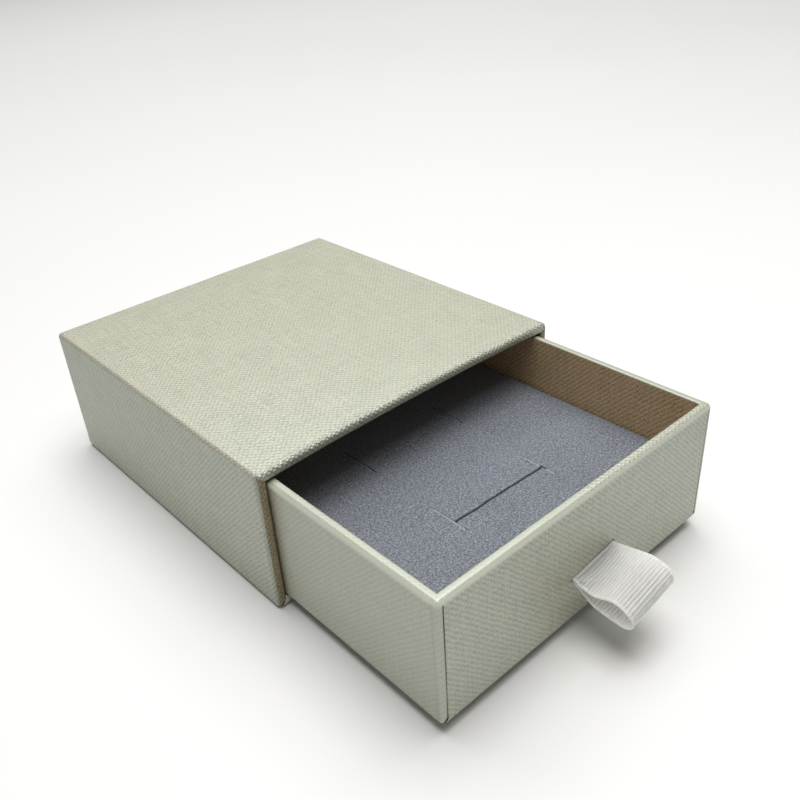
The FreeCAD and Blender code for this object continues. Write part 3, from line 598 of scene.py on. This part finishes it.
def wear_and_light_drawer(point, middle):
    """The rim and corners are rubbed smooth, the seams show a dark cut edge, the inside is turned in;
    painted shade on the inside, a corner's crease and the rim's top.
    """
    facing, end = nearer_end(middle)
    from_end = facing * (end - middle.y)
    from_side = DRAWER_HALF - abs(middle.x)
    within_walls = min(from_side, from_end) > DRAWER_WALL - 0.4 * MM
    if within_walls and RIM - 0.3 * MM > middle.z > DRAWER_FLOOR + MM:
        # painted shade: the inside of the drawer gets the shaded copy of the paper
        return WearAndLight(relief=INSIDE_RELIEF, finish=TURNED_SHADED_FACE)
    rubbed = rise(point.z, RIM - 1.1 * MM, RIM - 0.4 * MM)
    # the top of the rim, which gets painted shade and no highlight
    crown = rise(point.z, RIM - 0.4 * MM, RIM - 0.1 * MM)
    # rubbed pale and painted highlight on the rolled rim, below its top
    pale = rise(point.z, RIM - 1.5 * MM, RIM - 0.6 * MM) * (1.0 - crown)
    # painted shade along the corner's crease
    creased = 0.0
    if from_side < 0.3 * MM and middle.z <= RIM - 0.5 * MM:
        creased = near(facing * (end - point.y), CORNER_FOLD, 0.7 * MM)
    by_seam = from_end < ROLL and abs(middle.x) > SEAM_X - 0.6 * MM
    by_seam = by_seam and RIM - ROLL > middle.z > DRAWER_FLOOR + 0.1 * MM
    cut = seam(point) if by_seam else 0.0
    at_foot = point.z < SEAM_FOOT
    notched = by_seam and middle.z < SEAM_FOOT and seam(middle) > 0.5
    gap = 1.0 if at_foot else 0.62 + 0.5 * noise.noise(Vector((0.0, 1.0, point.z / (2.5 * MM))))
    return WearAndLight(
        relief=drawer_relief(point, from_side, from_end, rubbed),
        # rubbed pale and painted highlight, not over a seam
        pale=pale * (1.0 - cut),
        # the seam's dark cut edge with painted shade in its gap, and painted shade along the crease and on
        # the rim's top
        cut=max(cut * gap, CREASE_SHADE * creased * (1.0 - rubbed), CROWN_SHADE * crown),
        sink=(FOOT_SINK if at_foot else SEAM_SINK) * cut + CREASE_SINK * creased,
        finish=EDGE_FACE if notched else OUTSIDE_FACE,
    )


# --------------------------------------------------------------------------- covers of the boxes
CELL = 1.6 * MM  # of the sheets that are in view
PLAIN_CELL = 4 * MM  # of the sheets under and behind the sleeve
BOWED_CELLS, BOWED_LEVELS = 20, 8  # across and along a bowed piece, and up it
WANDER = 0.03 * MM
MOUTH_CUTS = [
    (1, [MOUTH_Y + step * MM for step in (0.6, 1.1, 1.6, 2.2)]),
    (0, [side * (SLEEVE_HALF - step * MM) for side in (-1, 1) for step in (0.4, 0.8, 1.2, 1.6, 2.0)]),
    (2, [step * MM for step in (0.4, 0.8, 1.2, 1.6, 2.0)]),
]
SEAM_STEPS = (-1.8, -0.8, 0.0, 0.8, 1.8, 2.8, 3.8, 4.8)
SEAM_CUTS = [side * (SEAM_X + step * SEAM_HALF) for side in (-1, 1) for step in SEAM_STEPS]
CORNER_CUTS = [
    end + facing * step * MM
    for end, facing in ((DRAWER_FRONT, 1), (DRAWER_BACK, -1))
    for step in (1.35, 1.65, 2.05, 2.6)
]
RIM_CUTS = [RIM - step * MM for step in (0.1, 0.25, 0.4, 0.75, 1.1, 1.5, 2.2)]
FOOT_CUTS = [DRAWER_FLOOR + step * MM for step in (0.3, 0.55, 0.8, 1.05, 1.3, 1.55, 1.8)]
DRAWER_CUTS = [(0, SEAM_CUTS), (1, CORNER_CUTS), (2, RIM_CUTS), (2, FOOT_CUTS)]


def bow(point):
    """How the sleeve's top bulges, most in the middle of its mouth: none at its sides and back."""
    across = 1.0 - (point.x / SLEEVE_HALF) ** 2
    forward = min(1.0, max(0.0, (BACK_Y - point.y) / (BACK_Y - MOUTH_Y)))
    along = BOW_AT_BACK + (1.0 - BOW_AT_BACK) * forward**1.6
    height = rise(point.z, 4 * MM, SLEEVE_TOP - 3 * MM)
    lift = BOW * across * along * height * rise(BACK_Y - point.y, 0.0, 12 * MM)
    return Vector((0.0, 0.0, lift))


def sway(point, amount):
    """A slow wander of a hand-wrapped surface, the same for both faces of a sheet."""
    wide = noise.noise_vector(point / (17 * MM))
    small = noise.noise_vector(point / (5 * MM) + Vector((3.0, 7.0, 1.0)))
    return (wide + small * 0.4) * amount


def mark_sheet(bm, unfold, wear_and_light):
    """Lays the sheet out flat in UV and marks its wear and painted light; gives how far each worn point
    sinks.

    wear_and_light gives each place's WearAndLight, from the place and the middle of its face."""
    flat = bm.loops.layers.uv.new(SHEET)
    worn = bm.loops.layers.float_color.new(WEAR_AND_LIGHT)
    bm.normal_update()
    sink = {}
    for face in bm.faces:
        middle = face.calc_center_median()
        face.material_index = wear_and_light(middle, middle).finish
        for loop in face.loops:
            across, along = unfold(loop.vert.co, middle)
            loop[flat].uv = (across / MM, along / MM)
            here = wear_and_light(loop.vert.co, middle)
            # green carries cut edges and painted shade, blue rubbed pale and painted highlight
            loop[worn] = (here.relief, here.cut, here.pale, 1.0)
            if here.sink:
                sink[loop.vert] = -loop.vert.normal * here.sink
    return sink


def paper_skin(name, nodes, body, unfold, wear_and_light=wear_plain, cell=PLAIN_CELL, wander=0.0, cuts=(), shape=None):
    """The wrapped paper: the CAD sheet cut into cells, laid out flat in UV and gently uneven."""
    bm = joined(*nodes)
    cut_into_cells(bm, cell)
    for axis, places in cuts:
        cut_by_planes(bm, axis, places)
    sink = mark_sheet(bm, unfold, wear_and_light)
    for vert in bm.verts:
        spot = vert.co.copy()
        vert.co += sway(spot, wander) + sink.get(vert, Vector())
        if shape:
            vert.co += shape(spot)
    piece = linked(name, bm, "cover_paper", body)
    # the copy with painted shade for turned-in faces, and the cut edge
    piece.data.materials.append(PAPER_INSIDE_SHADED)
    piece.data.materials.append(PAPER_EDGE)
    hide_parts(*nodes)
    crease(piece, angle=50)


def bowed_copy(node):
    """A piece inside the sleeve's bowed top, bowed along with it."""
    bm = joined(node)
    for axis, (low, high) in enumerate(((-SLEEVE_HALF, SLEEVE_HALF), (MOUTH_Y, BACK_Y))):
        places = [low + (high - low) * i / BOWED_CELLS for i in range(1, BOWED_CELLS)]
        cut_by_planes(bm, axis, places)
    cut_by_planes(bm, 2, [SLEEVE_TOP * i / BOWED_LEVELS for i in range(1, BOWED_LEVELS)])
    for vert in bm.verts:
        vert.co += bow(vert.co)
    piece = linked(node + "_bowed", bm, slot_of(node), "sleeve")
    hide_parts(node)
    crease(piece, angle=40)


def sleeve_cover():
    """The sheet round the sleeve, and the pieces that its bowed top carries along."""
    sheet = ["sleeve_wrap"]
    paper_skin("sleeve_cover", sheet, "sleeve", unfold_sleeve, wear_and_light_sleeve, CELL, WANDER, MOUTH_CUTS, bow)
    for node in ("sleeve_top_board", "sleeve_wall_lining", "sleeve_edge_stays"):
        bowed_copy(node)


def drawer_cover():
    """The sheet round the drawer."""
    sheet = ["drawer_wrap"]
    paper_skin("drawer_cover", sheet, "drawer", unfold_drawer, wear_and_light_drawer, CELL, WANDER, DRAWER_CUTS)


# --------------------------------------------------------------------------- insert
class Slit(NamedTuple):
    """A knife cut in the velvet; a cross slit runs along Y about its middle."""

    x: float
    y: float
    depth: float  # this and what follows in millimetres
    half: float  # half of its opening
    lip: float  # how far its lip stands up


SLIT_LEFT, SLIT_RIGHT = -12.6 * MM, 13.5 * MM
SLIT_Y = -67.75 * MM
SLIT_DROP = 0.02  # the long slit comes forward by this share of the way to the right
SLIT_WOBBLE = 0.22 * MM
LONG_DEPTH, LONG_HALF, LONG_LIP = 3.0, 0.21, 0.10  # millimetres
CROSS_HALF = 4.6 * MM
CROSSES = (
    Slit(SLIT_LEFT, -66.5 * MM, 0.5, 0.06, 0.30),
    Slit(SLIT_RIGHT, -67.4 * MM, 0.5, 0.06, 0.22),
    Slit(SLIT_LEFT + 0.2 * MM, -37.7 * MM, 2.0, 0.11, 0.14),
    Slit(SLIT_RIGHT + 0.7 * MM, -38.4 * MM, 2.0, 0.11, 0.14),
)
NIB = 1.4 * MM  # the long slit's right end gapes this far along its cross slit
NIB_DEPTH, NIB_HALF = 2.2, 0.14  # millimetres
CLEFT_WALL = 0.09  # millimetres that the pile takes to turn down into a cut
LIP_OUT, LIP_REACH = 0.28, 0.32  # millimetres from a cut to the top of its lip, and the lip's width
CROWD = (0.0, 0.05, 0.10, 0.14, 0.17, 0.20, 0.23, 0.27, 0.31, 0.38, 0.5, 0.68, 0.9, 1.2, 1.5)
CROWD_REACH = 1.7 * MM
PAD_STEP = 0.55 * MM
PAD_ROUND = 1.0 * MM
PAD_INSET = 0.12 * MM
SLIT_SHADE_DEPTH = 0.25 * MM  # deeper than this, the slit's painted shade takes over from the pile


def fine_places(low, high, centres):
    """Places from low to high, a step apart, and crowded round each centre and at the ends."""
    crowd = [c + s * n * MM for c in centres for n in CROWD for s in (-1, 1)]
    edge = [PAD_ROUND * (1 - math.cos(a * math.pi / 12)) for a in range(7)]
    ends = [low + e for e in edge] + [high - e for e in edge]
    count = round((high - low) / PAD_STEP)
    even = [low + (high - low) * i / count for i in range(1, count)]
    clear = [p for p in even if all(abs(p - c) > CROWD_REACH for c in centres)]
    clear = [p for p in clear if PAD_ROUND < p - low and p < high - PAD_ROUND]
    return sorted(set(round(p, 8) for p in clear + crowd + ends))


def groove(distance, depth, half, lip):
    """Depth of a knife cut at a distance in mm from its line: a cleft with one raised lip."""
    wall = min(1.0, max(0.0, (half + CLEFT_WALL - abs(distance)) / CLEFT_WALL))
    raised = lip * math.exp(-(((distance - half - LIP_OUT) / LIP_REACH) ** 2))
    return (depth * wall * wall * (3 - 2 * wall) - raised * (1 - wall)) * MM


def slit_depth(x, y):
    """How far the cuts take the velvet down at a point."""
    depth = 0.0
    if SLIT_LEFT - MM < x < SLIT_RIGHT + MM and abs(y - SLIT_Y) < 2 * MM:
        past = max(SLIT_LEFT - x, x - SLIT_RIGHT)
        depth = groove((y - SLIT_Y) / MM, LONG_DEPTH, LONG_HALF, LONG_LIP) * fade(past, 0.2 * MM)
    for slit in CROSSES:
        past = abs(y - slit.y) - CROSS_HALF
        if abs(x - slit.x) < 2 * MM and past < MM:
            cut = groove((slit.x - x) / MM, slit.depth, slit.half, slit.lip)
            cut *= fade(past + 1.5 * MM, 2.0 * MM)
            depth = max(depth, cut) if depth > 0 else depth + cut
    if abs(x - SLIT_RIGHT) < MM and SLIT_Y - NIB < y < SLIT_Y:
        share = 1 - (SLIT_Y - y) / NIB
        depth = max(depth, groove((x - SLIT_RIGHT) / MM, NIB_DEPTH * share, NIB_HALF, 0.0))
    return depth


def slit_shift(x, y):
    """How far a point moves along Y, so that the long slit slants and wobbles."""
    if not PAD_LOW.y + 2 * MM < y < PAD_HIGH.y - 2 * MM:
        return 0.0
    reach = fade(abs(y - SLIT_Y) - 4 * MM, 12 * MM)
    slant = -SLIT_DROP * (x - (SLIT_LEFT + SLIT_RIGHT) / 2) * reach
    slant += SLIT_WOBBLE * noise.noise(Vector((x / (4.5 * MM), 0.0, 5.0))) * reach
    return slant * fade(abs(x) - 16 * MM, 14 * MM)


def pad_top(x, y):
    """Height of the velvet: rounded at its edges, a little uneven, slit."""
    from_edge = min(x - PAD_LOW.x, PAD_HIGH.x - x, y - PAD_LOW.y, PAD_HIGH.y - y)
    into_round = max(0.0, PAD_ROUND - from_edge)
    rounding = PAD_ROUND - math.sqrt(max(0.0, PAD_ROUND**2 - into_round**2))
    nap = noise.noise(Vector((x, y, 0.0)) / (9 * MM)) * 0.10 * MM
    tufts = noise.noise(Vector((x, y, 0.0)) / (1.1 * MM)) * 0.03 * MM
    return PAD_HIGH.z - PAD_INSET - rounding + nap + tufts - slit_depth(x, y)


def velvet_skirt(bm, grid):
    """Closes the pad: down its sides in three steps, and across below."""
    rim = grid[0] + [r[-1] for r in grid[1:]] + grid[-1][-2::-1] + [r[0] for r in grid[-2:0:-1]]
    middle_y = (PAD_LOW.y + PAD_HIGH.y) / 2
    ring = rim
    for drop, inwards in ((0.24, 0.0), (0.6, 0.0005), (0.9, 0.0015)):
        lowered = []
        for vert in rim:
            toward = Vector((-vert.co.x, middle_y - vert.co.y, 0)) * inwards
            lowered.append(bm.verts.new(vert.co + toward - Vector((0, 0, drop * MM))))
        for i, vert in enumerate(ring):
            j = (i + 1) % len(ring)
            bm.faces.new((ring[j], vert, lowered[i], lowered[j]))
        ring = lowered
    bm.faces.new(ring)


def mark_velvet(bm, sunk):
    """Marks a painted highlight on a slit's raised lip and painted shade down a slit, and gives the deep
    faces the painted-shade material.
    """
    marks = bm.loops.layers.float_color.new(WEAR_AND_LIGHT)
    for face in bm.faces:
        for loop in face.loops:
            depth = sunk.get(loop.vert, 0.0) / MM
            # painted shade down a slit, painted highlight on its raised lip
            cut = rise(depth, 0.03, 0.25)
            raised = 0.55 * rise(-depth, 0.04, 0.2)
            loop[marks] = (1.0, cut, raised, 1.0)
        face.material_index = int(min(sunk.get(vert, 0.0) for vert in face.verts) > SLIT_SHADE_DEPTH)


def velvet_cover():
    """The velvet over the foam: a closed pad with knife slits and a short skirt."""
    xs = fine_places(PAD_LOW.x, PAD_HIGH.x, (SLIT_LEFT, SLIT_RIGHT, CROSSES[2].x, CROSSES[3].x))
    ys = fine_places(PAD_LOW.y, PAD_HIGH.y, (SLIT_Y,))
    bm = bmesh.new()
    grid = [[bm.verts.new((x, y + slit_shift(x, y), pad_top(x, y))) for x in xs] for y in ys]
    sunk = {vert: slit_depth(x, y) for y, row in zip(ys, grid) for x, vert in zip(xs, row)}
    for lower, upper in zip(grid, grid[1:]):
        for corners in zip(lower, lower[1:], upper[1:], upper):
            bm.faces.new(corners)
    velvet_skirt(bm, grid)
    bmesh.ops.recalc_face_normals(bm, faces=bm.faces[:])
    mark_velvet(bm, sunk)
    piece = linked("velvet_cover", bm, "velvet", "drawer")
    piece.data.materials.append(slit_shade())
    smooth(piece)
    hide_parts("insert_velvet")


def foam_core():
    """The sponge block under the velvet, a little soft at its edges."""
    bm = bmesh.new()
    bmesh.ops.create_cube(bm, size=1.0)
    size, middle = FOAM_HIGH - FOAM_LOW, (FOAM_HIGH + FOAM_LOW) / 2
    top = FOAM_HIGH.z - 2.6 * MM  # under the deepest point of the velvet's slits
    for vert in bm.verts:
        vert.co = Vector([middle[i] + vert.co[i] * size[i] for i in range(3)])
        vert.co.z = min(vert.co.z, top)
    bmesh.ops.bevel(bm, geom=bm.edges[:], offset=1.2 * MM, segments=3, affect="EDGES", profile=0.6)
    bmesh.ops.triangulate(bm, faces=bm.faces[:])
    bmesh.ops.subdivide_edges(bm, edges=bm.edges[:], cuts=3, use_grid_fill=True)
    for vert in bm.verts:
        vert.co -= (vert.co - middle).normalized() * abs(noise.noise(vert.co / (6 * MM))) * 0.25 * MM
    piece = linked("foam_core", bm, "foam", "drawer")
    smooth(piece)
    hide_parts("insert_foam")


# --------------------------------------------------------------------------- ribbon
RIBBON_WIDTH = 12.7 * MM
RIBBON_THICK = 0.35 * MM
RIBBON_MIDDLE = 1.3 * MM
RIB_PITCH = 0.72 * MM
RIB_RISE = 0.10 * MM
ROWS_PER_RIB = 8
BEAD_PITCH = 0.55 * MM  # of the small loops along each selvedge
BEAD_RISE = 0.07 * MM
UNEVEN_RUN = 2.3 * MM  # length of ribbon over which the ribs' spacing and rise wander
SAG = 0.95  # millimetres, at the middle of the ribbon's width
SAG_FULL, SAG_REACH = 0.9, 3.2  # millimetres out to the full sag, and over which it then dies away
PUCKER = 0.3  # millimetres that a small pucker stands up, near the left edge
PUCKER_OUT, PUCKER_LONG = 2.4, 1.1  # its place and reach, in millimetres out from the drawer's front
PUCKER_SHARE, PUCKER_WIDE = 0.2, 0.06  # its place and reach, as shares of the ribbon's width
UPPER_TAIL = -(DRAWER_WALL + RIBBON_THICK) / MM  # behind the drawer's wall, in mm out from its front
LOWER_TAIL = UPPER_TAIL + RIBBON_THICK / MM
# Middle of the ribbon's thickness along its left and right edges: millimetres out from the drawer's
# front, and above the table.  Both start at the foot of the upper tail and end at the lower one's.
LEFT_EDGE = (
    (UPPER_TAIL, 5.6), (UPPER_TAIL, 9.0), (UPPER_TAIL, 12.6), (-1.5, 13.55), (-0.4, 13.6),
    (0.6, 13.35), (2.1, 12.75), (4.4, 12.4), (6.4, 12.85), (8.1, 13.55), (9.9, 13.7), (11.6, 13.2),
    (12.9, 12.35), (13.5, 11.2), (13.25, 10.1), (12.4, 9.5), (11.2, 9.35), (9.6, 9.4), (7.6, 9.6),
    (5.7, 9.85), (4.3, 10.35), (3.0, 11.25), (1.6, 12.15), (0.5, 12.75), (-0.5, 13.05),
    (-1.3, 13.0), (LOWER_TAIL, 12.2), (LOWER_TAIL, 9.0), (LOWER_TAIL, 5.6),
)
RIGHT_EDGE = (
    (UPPER_TAIL, 6.9), (UPPER_TAIL, 10.3), (UPPER_TAIL, 13.9), (-1.5, 14.95), (-0.4, 15.05),
    (0.8, 15.25), (2.3, 15.6), (4.5, 16.0), (6.4, 16.45), (8.3, 16.85), (10.0, 16.85), (11.6, 16.5),
    (12.9, 15.85), (13.6, 14.8), (13.65, 13.7), (13.0, 12.9), (11.8, 12.55), (10.0, 12.5),
    (7.9, 12.65), (6.0, 12.9), (4.5, 13.2), (3.1, 13.6), (1.7, 14.1), (0.6, 14.45), (-0.5, 14.6),
    (-1.3, 14.5), (LOWER_TAIL, 13.7), (LOWER_TAIL, 10.3), (LOWER_TAIL, 6.9),
)
# Lines of the mesh along the ribbon, as shares of its width.
HALF_SHARES = [0.0, 0.01, 0.03, 0.05, 0.065, 0.08, 0.12, 0.17, 0.23, 0.3, 0.4]
SHARES = np.array(HALF_SHARES + [0.5] + [1 - share for share in HALF_SHARES[::-1]])
FROM_EDGE = np.minimum(SHARES, 1 - SHARES)
# The thickness from an edge inwards: a rolled selvedge, a furrow beside it, then the flat of the ribbon.
SELVEDGE = ((0, 0.01, 0.03, 0.05, 0.065, 0.08, 0.12), (0.3, 1.15, 1.45, 1.3, 0.75, 0.85, 1.0))


def hollow(out, share):
    """Millimetres that the ribbon hangs below the line between its edges, just out of the slot."""
    begin = np.clip(out / SAG_FULL, 0, 1) * np.exp(-((np.maximum(out - SAG_FULL, 0) / SAG_REACH) ** 2))
    pucker = PUCKER * np.exp(-(((out - PUCKER_OUT) / PUCKER_LONG) ** 2))
    pucker *= math.exp(-(((share - PUCKER_SHARE) / PUCKER_WIDE) ** 2))
    return SAG * 4 * share * (1 - share) * begin - pucker


def smooth_line(points, count):
    """A Catmull-Rom curve through the points: evenly spaced places along it, and its length."""
    p = np.array(points, float)
    p = np.vstack([2 * p[0] - p[1], p, 2 * p[-1] - p[-2]])
    t = np.linspace(0, 1, 24, endpoint=False)[:, None]
    dense = []
    for a, b, c, d in zip(p, p[1:], p[2:], p[3:]):
        turn = (2 * a - 5 * b + 4 * c - d) * t**2 + (3 * b - a - 3 * c + d) * t**3
        dense.append(0.5 * (2 * b + (c - a) * t + turn))
    dense = np.vstack([*dense, p[-2:-1]])
    run = np.concatenate([[0], np.cumsum(np.linalg.norm(np.diff(dense, axis=0), axis=1))])
    places = np.linspace(0, run[-1], count)
    return np.stack([np.interp(places, run, dense[:, i]) for i in range(2)], axis=1), run[-1]


def ribbon_surface(rows):
    """The middle of the ribbon's thickness, as rows of points across it."""
    left, _ = smooth_line(LEFT_EDGE, rows)
    right, _ = smooth_line(RIGHT_EDGE, rows)
    middle = np.zeros((rows, len(SHARES), 3))
    for k, share in enumerate(SHARES):
        line = left * (1 - share) + right * share
        middle[:, k, 0] = RIBBON_MIDDLE + (share - 0.5) * RIBBON_WIDTH
        middle[:, k, 1] = DRAWER_FRONT - line[:, 0] * MM
        middle[:, k, 2] = (line[:, 1] - hollow(line[:, 0], share)) * MM
    return middle


def ribbon_half(places):
    """Half of the ribbon's thickness: uneven ribs across it, and beads along its selvedges."""
    unevenness = np.array([noise.noise(Vector((p / UNEVEN_RUN, 0, 0))) for p in places])
    wave = np.cos(2 * np.pi * places / RIB_PITCH + 0.8 * unevenness) * (0.9 + 0.5 * unevenness)
    ribbed = np.interp(FROM_EDGE, (0.06, 0.09), (0.3, 1.0))
    beads = BEAD_RISE * np.cos(2 * np.pi * places / BEAD_PITCH)
    beaded = np.interp(FROM_EDGE, (0.0, 0.02, 0.05, 0.065), (0.0, 1.0, 1.0, 0.0))
    flat = RIBBON_THICK / 2 * np.interp(FROM_EDGE, *SELVEDGE)
    return flat + RIB_RISE * wave[:, None] * ribbed + beads[:, None] * beaded


def ribbon_mesh(places):
    """The ribbon as a closed strip: its two faces, joined along its edges and across its ends."""
    rows, last = len(places), len(SHARES) - 1
    middle = ribbon_surface(rows)
    normal = np.cross(np.gradient(middle, axis=1), np.gradient(middle, axis=0))
    normal /= np.linalg.norm(normal, axis=2, keepdims=True)
    offset = normal * ribbon_half(places)[:, :, None]
    bm = bmesh.new()
    flat = bm.loops.layers.uv.new(SHEET)
    upper = [[bm.verts.new(point) for point in row] for row in middle + offset]
    lower = [[bm.verts.new(point) for point in row] for row in middle - offset]

    def patch(corners, keys):
        face = bm.faces.new(corners)
        for loop, (i, k) in zip(face.loops, keys):
            loop[flat].uv = (SHARES[k] * RIBBON_WIDTH / MM, places[i] / MM)

    for i in range(rows - 1):
        for k in range(last):
            keys = [(i, k), (i + 1, k), (i + 1, k + 1), (i, k + 1)]
            patch([upper[a][b] for a, b in keys], keys)
            patch([lower[a][b] for a, b in keys[::-1]], keys[::-1])
        for k in (0, last):
            keys = [(i, k), (i + 1, k), (i + 1, k), (i, k)]
            patch([upper[i][k], upper[i + 1][k], lower[i + 1][k], lower[i][k]], keys)
    for i in (0, rows - 1):
        for k in range(last):
            keys = [(i, k), (i, k + 1), (i, k + 1), (i, k)]
            patch([upper[i][k], upper[i][k + 1], lower[i][k + 1], lower[i][k]], keys)
    bmesh.ops.recalc_face_normals(bm, faces=bm.faces[:])
    return bm


def ribbon():
    """The grosgrain pull: one strip from tail to tail, ribbed across, bowed where it leaves the slot."""
    runs = [smooth_line(edge, 2)[1] for edge in (LEFT_EDGE, RIGHT_EDGE)]
    length = sum(runs) / 2 * MM
    rows = int(length / RIB_PITCH * ROWS_PER_RIB)
    piece = linked("ribbon_pull", ribbon_mesh(np.linspace(0, length, rows)), "ribbon")
    smooth(piece)
    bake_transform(piece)
    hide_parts("ribbon_loop", "ribbon_tails")


# --------------------------------------------------------------------------- CAD nodes that stay
def dress_nodes():
    """The finish of every CAD node, by its material slot in the record."""
    for name, node in frame["nodes"].items():
        for slot in node.material_slots:
            slot.link = "OBJECT"
            slot.material = MATERIALS[slot_of(name)]


# --------------------------------------------------------------------------- studio
CAMERA_AZIMUTH, CAMERA_ELEVATION, CAMERA_ROLL = -40.253, 31.697, -4.067  # degrees
CAMERA_PLACE = Vector((-106.43, -164.02, 131.07)) * MM
SENSOR = 36.0
FRAME_PIXELS = 800
FOCAL_PIXELS = 869.24
FLOOR_REACH = 3.0


def camera():
    """The photograph's camera."""
    azimuth, elevation = math.radians(CAMERA_AZIMUTH), math.radians(CAMERA_ELEVATION)
    roll = math.radians(CAMERA_ROLL)
    level = math.cos(elevation)
    back = Vector((math.sin(azimuth) * level, -math.cos(azimuth) * level, math.sin(elevation)))
    right = (-back).cross(Vector((0, 0, 1))).normalized()
    up = right.cross(-back)
    across = right * math.cos(roll) + up * math.sin(roll)
    upward = up * math.cos(roll) - right * math.sin(roll)
    data = bpy.data.cameras.new("camera")
    data.sensor_width = SENSOR
    data.lens = FOCAL_PIXELS / FRAME_PIXELS * SENSOR
    data.clip_start = 0.005
    data.clip_end = 20.0
    eye = bpy.data.objects.new("camera", data)
    turned = Matrix((across, upward, back)).transposed().to_4x4()
    eye.matrix_world = Matrix.Translation(CAMERA_PLACE) @ turned
    bpy.context.scene.collection.objects.link(eye)
    bpy.context.scene.camera = eye


def softbox(name, place, target, size, power, colour=(1.0, 1.0, 1.0)):
    """A square lamp, turned to its target."""
    data = bpy.data.lights.new(name, "AREA")
    data.shape = "SQUARE"
    data.size = size
    data.energy = power
    data.color = colour
    lamp = bpy.data.objects.new(name, data)
    lamp.location = place
    lamp.rotation_mode = "QUATERNION"
    lamp.rotation_quaternion = (Vector(target) - Vector(place)).to_track_quat("-Z", "Y")
    bpy.context.scene.collection.objects.link(lamp)


def surround():
    """A dim, pale light from all round."""
    world = bpy.data.worlds.new("surround")
    world.use_nodes = True
    background = world.node_tree.nodes["Background"]
    background.inputs["Color"].default_value = (1.0, 0.99, 0.96, 1.0)
    background.inputs["Strength"].default_value = 0.20
    bpy.context.scene.world = world


def floor():
    """The pale sweep that the box stands on."""
    mesh = bpy.data.meshes.new("floor")
    corners = [(x * FLOOR_REACH, y * FLOOR_REACH, 0) for x, y in ((-1, -1), (1, -1), (1, 1), (-1, 1))]
    mesh.from_pydata(corners, [], [(0, 1, 2, 3)])
    mesh.materials.append(floor_paper())
    sweep = bpy.data.objects.new("floor", mesh)
    bpy.context.scene.collection.objects.link(sweep)


def studio():
    """A broad softbox overhead and behind, a small one near, a pale surround and a pale sweep."""
    surround()
    softbox("overhead", place=(0.35, 0.45, 1.30), target=(0.35, 0.45, 0), size=1.6, power=21.5)
    warm = (1.0, 0.985, 0.95)
    softbox("near", place=(0.0, -0.12, 0.50), target=(0, -0.06, 0), size=0.35, power=1.5, colour=warm)
    bpy.context.scene.view_settings.view_transform = "Standard"
    floor()


# --------------------------------------------------------------------------- the whole box
dress_nodes()
sleeve_cover()
paper_skin("sleeve_base_cover", ["sleeve_base_sheet"], "sleeve", unfold_base)
paper_skin("sleeve_back_cover", ["sleeve_back_sheet"], "sleeve", unfold_back)
drawer_cover()
velvet_cover()
foam_core()
ribbon()
camera()
studio()
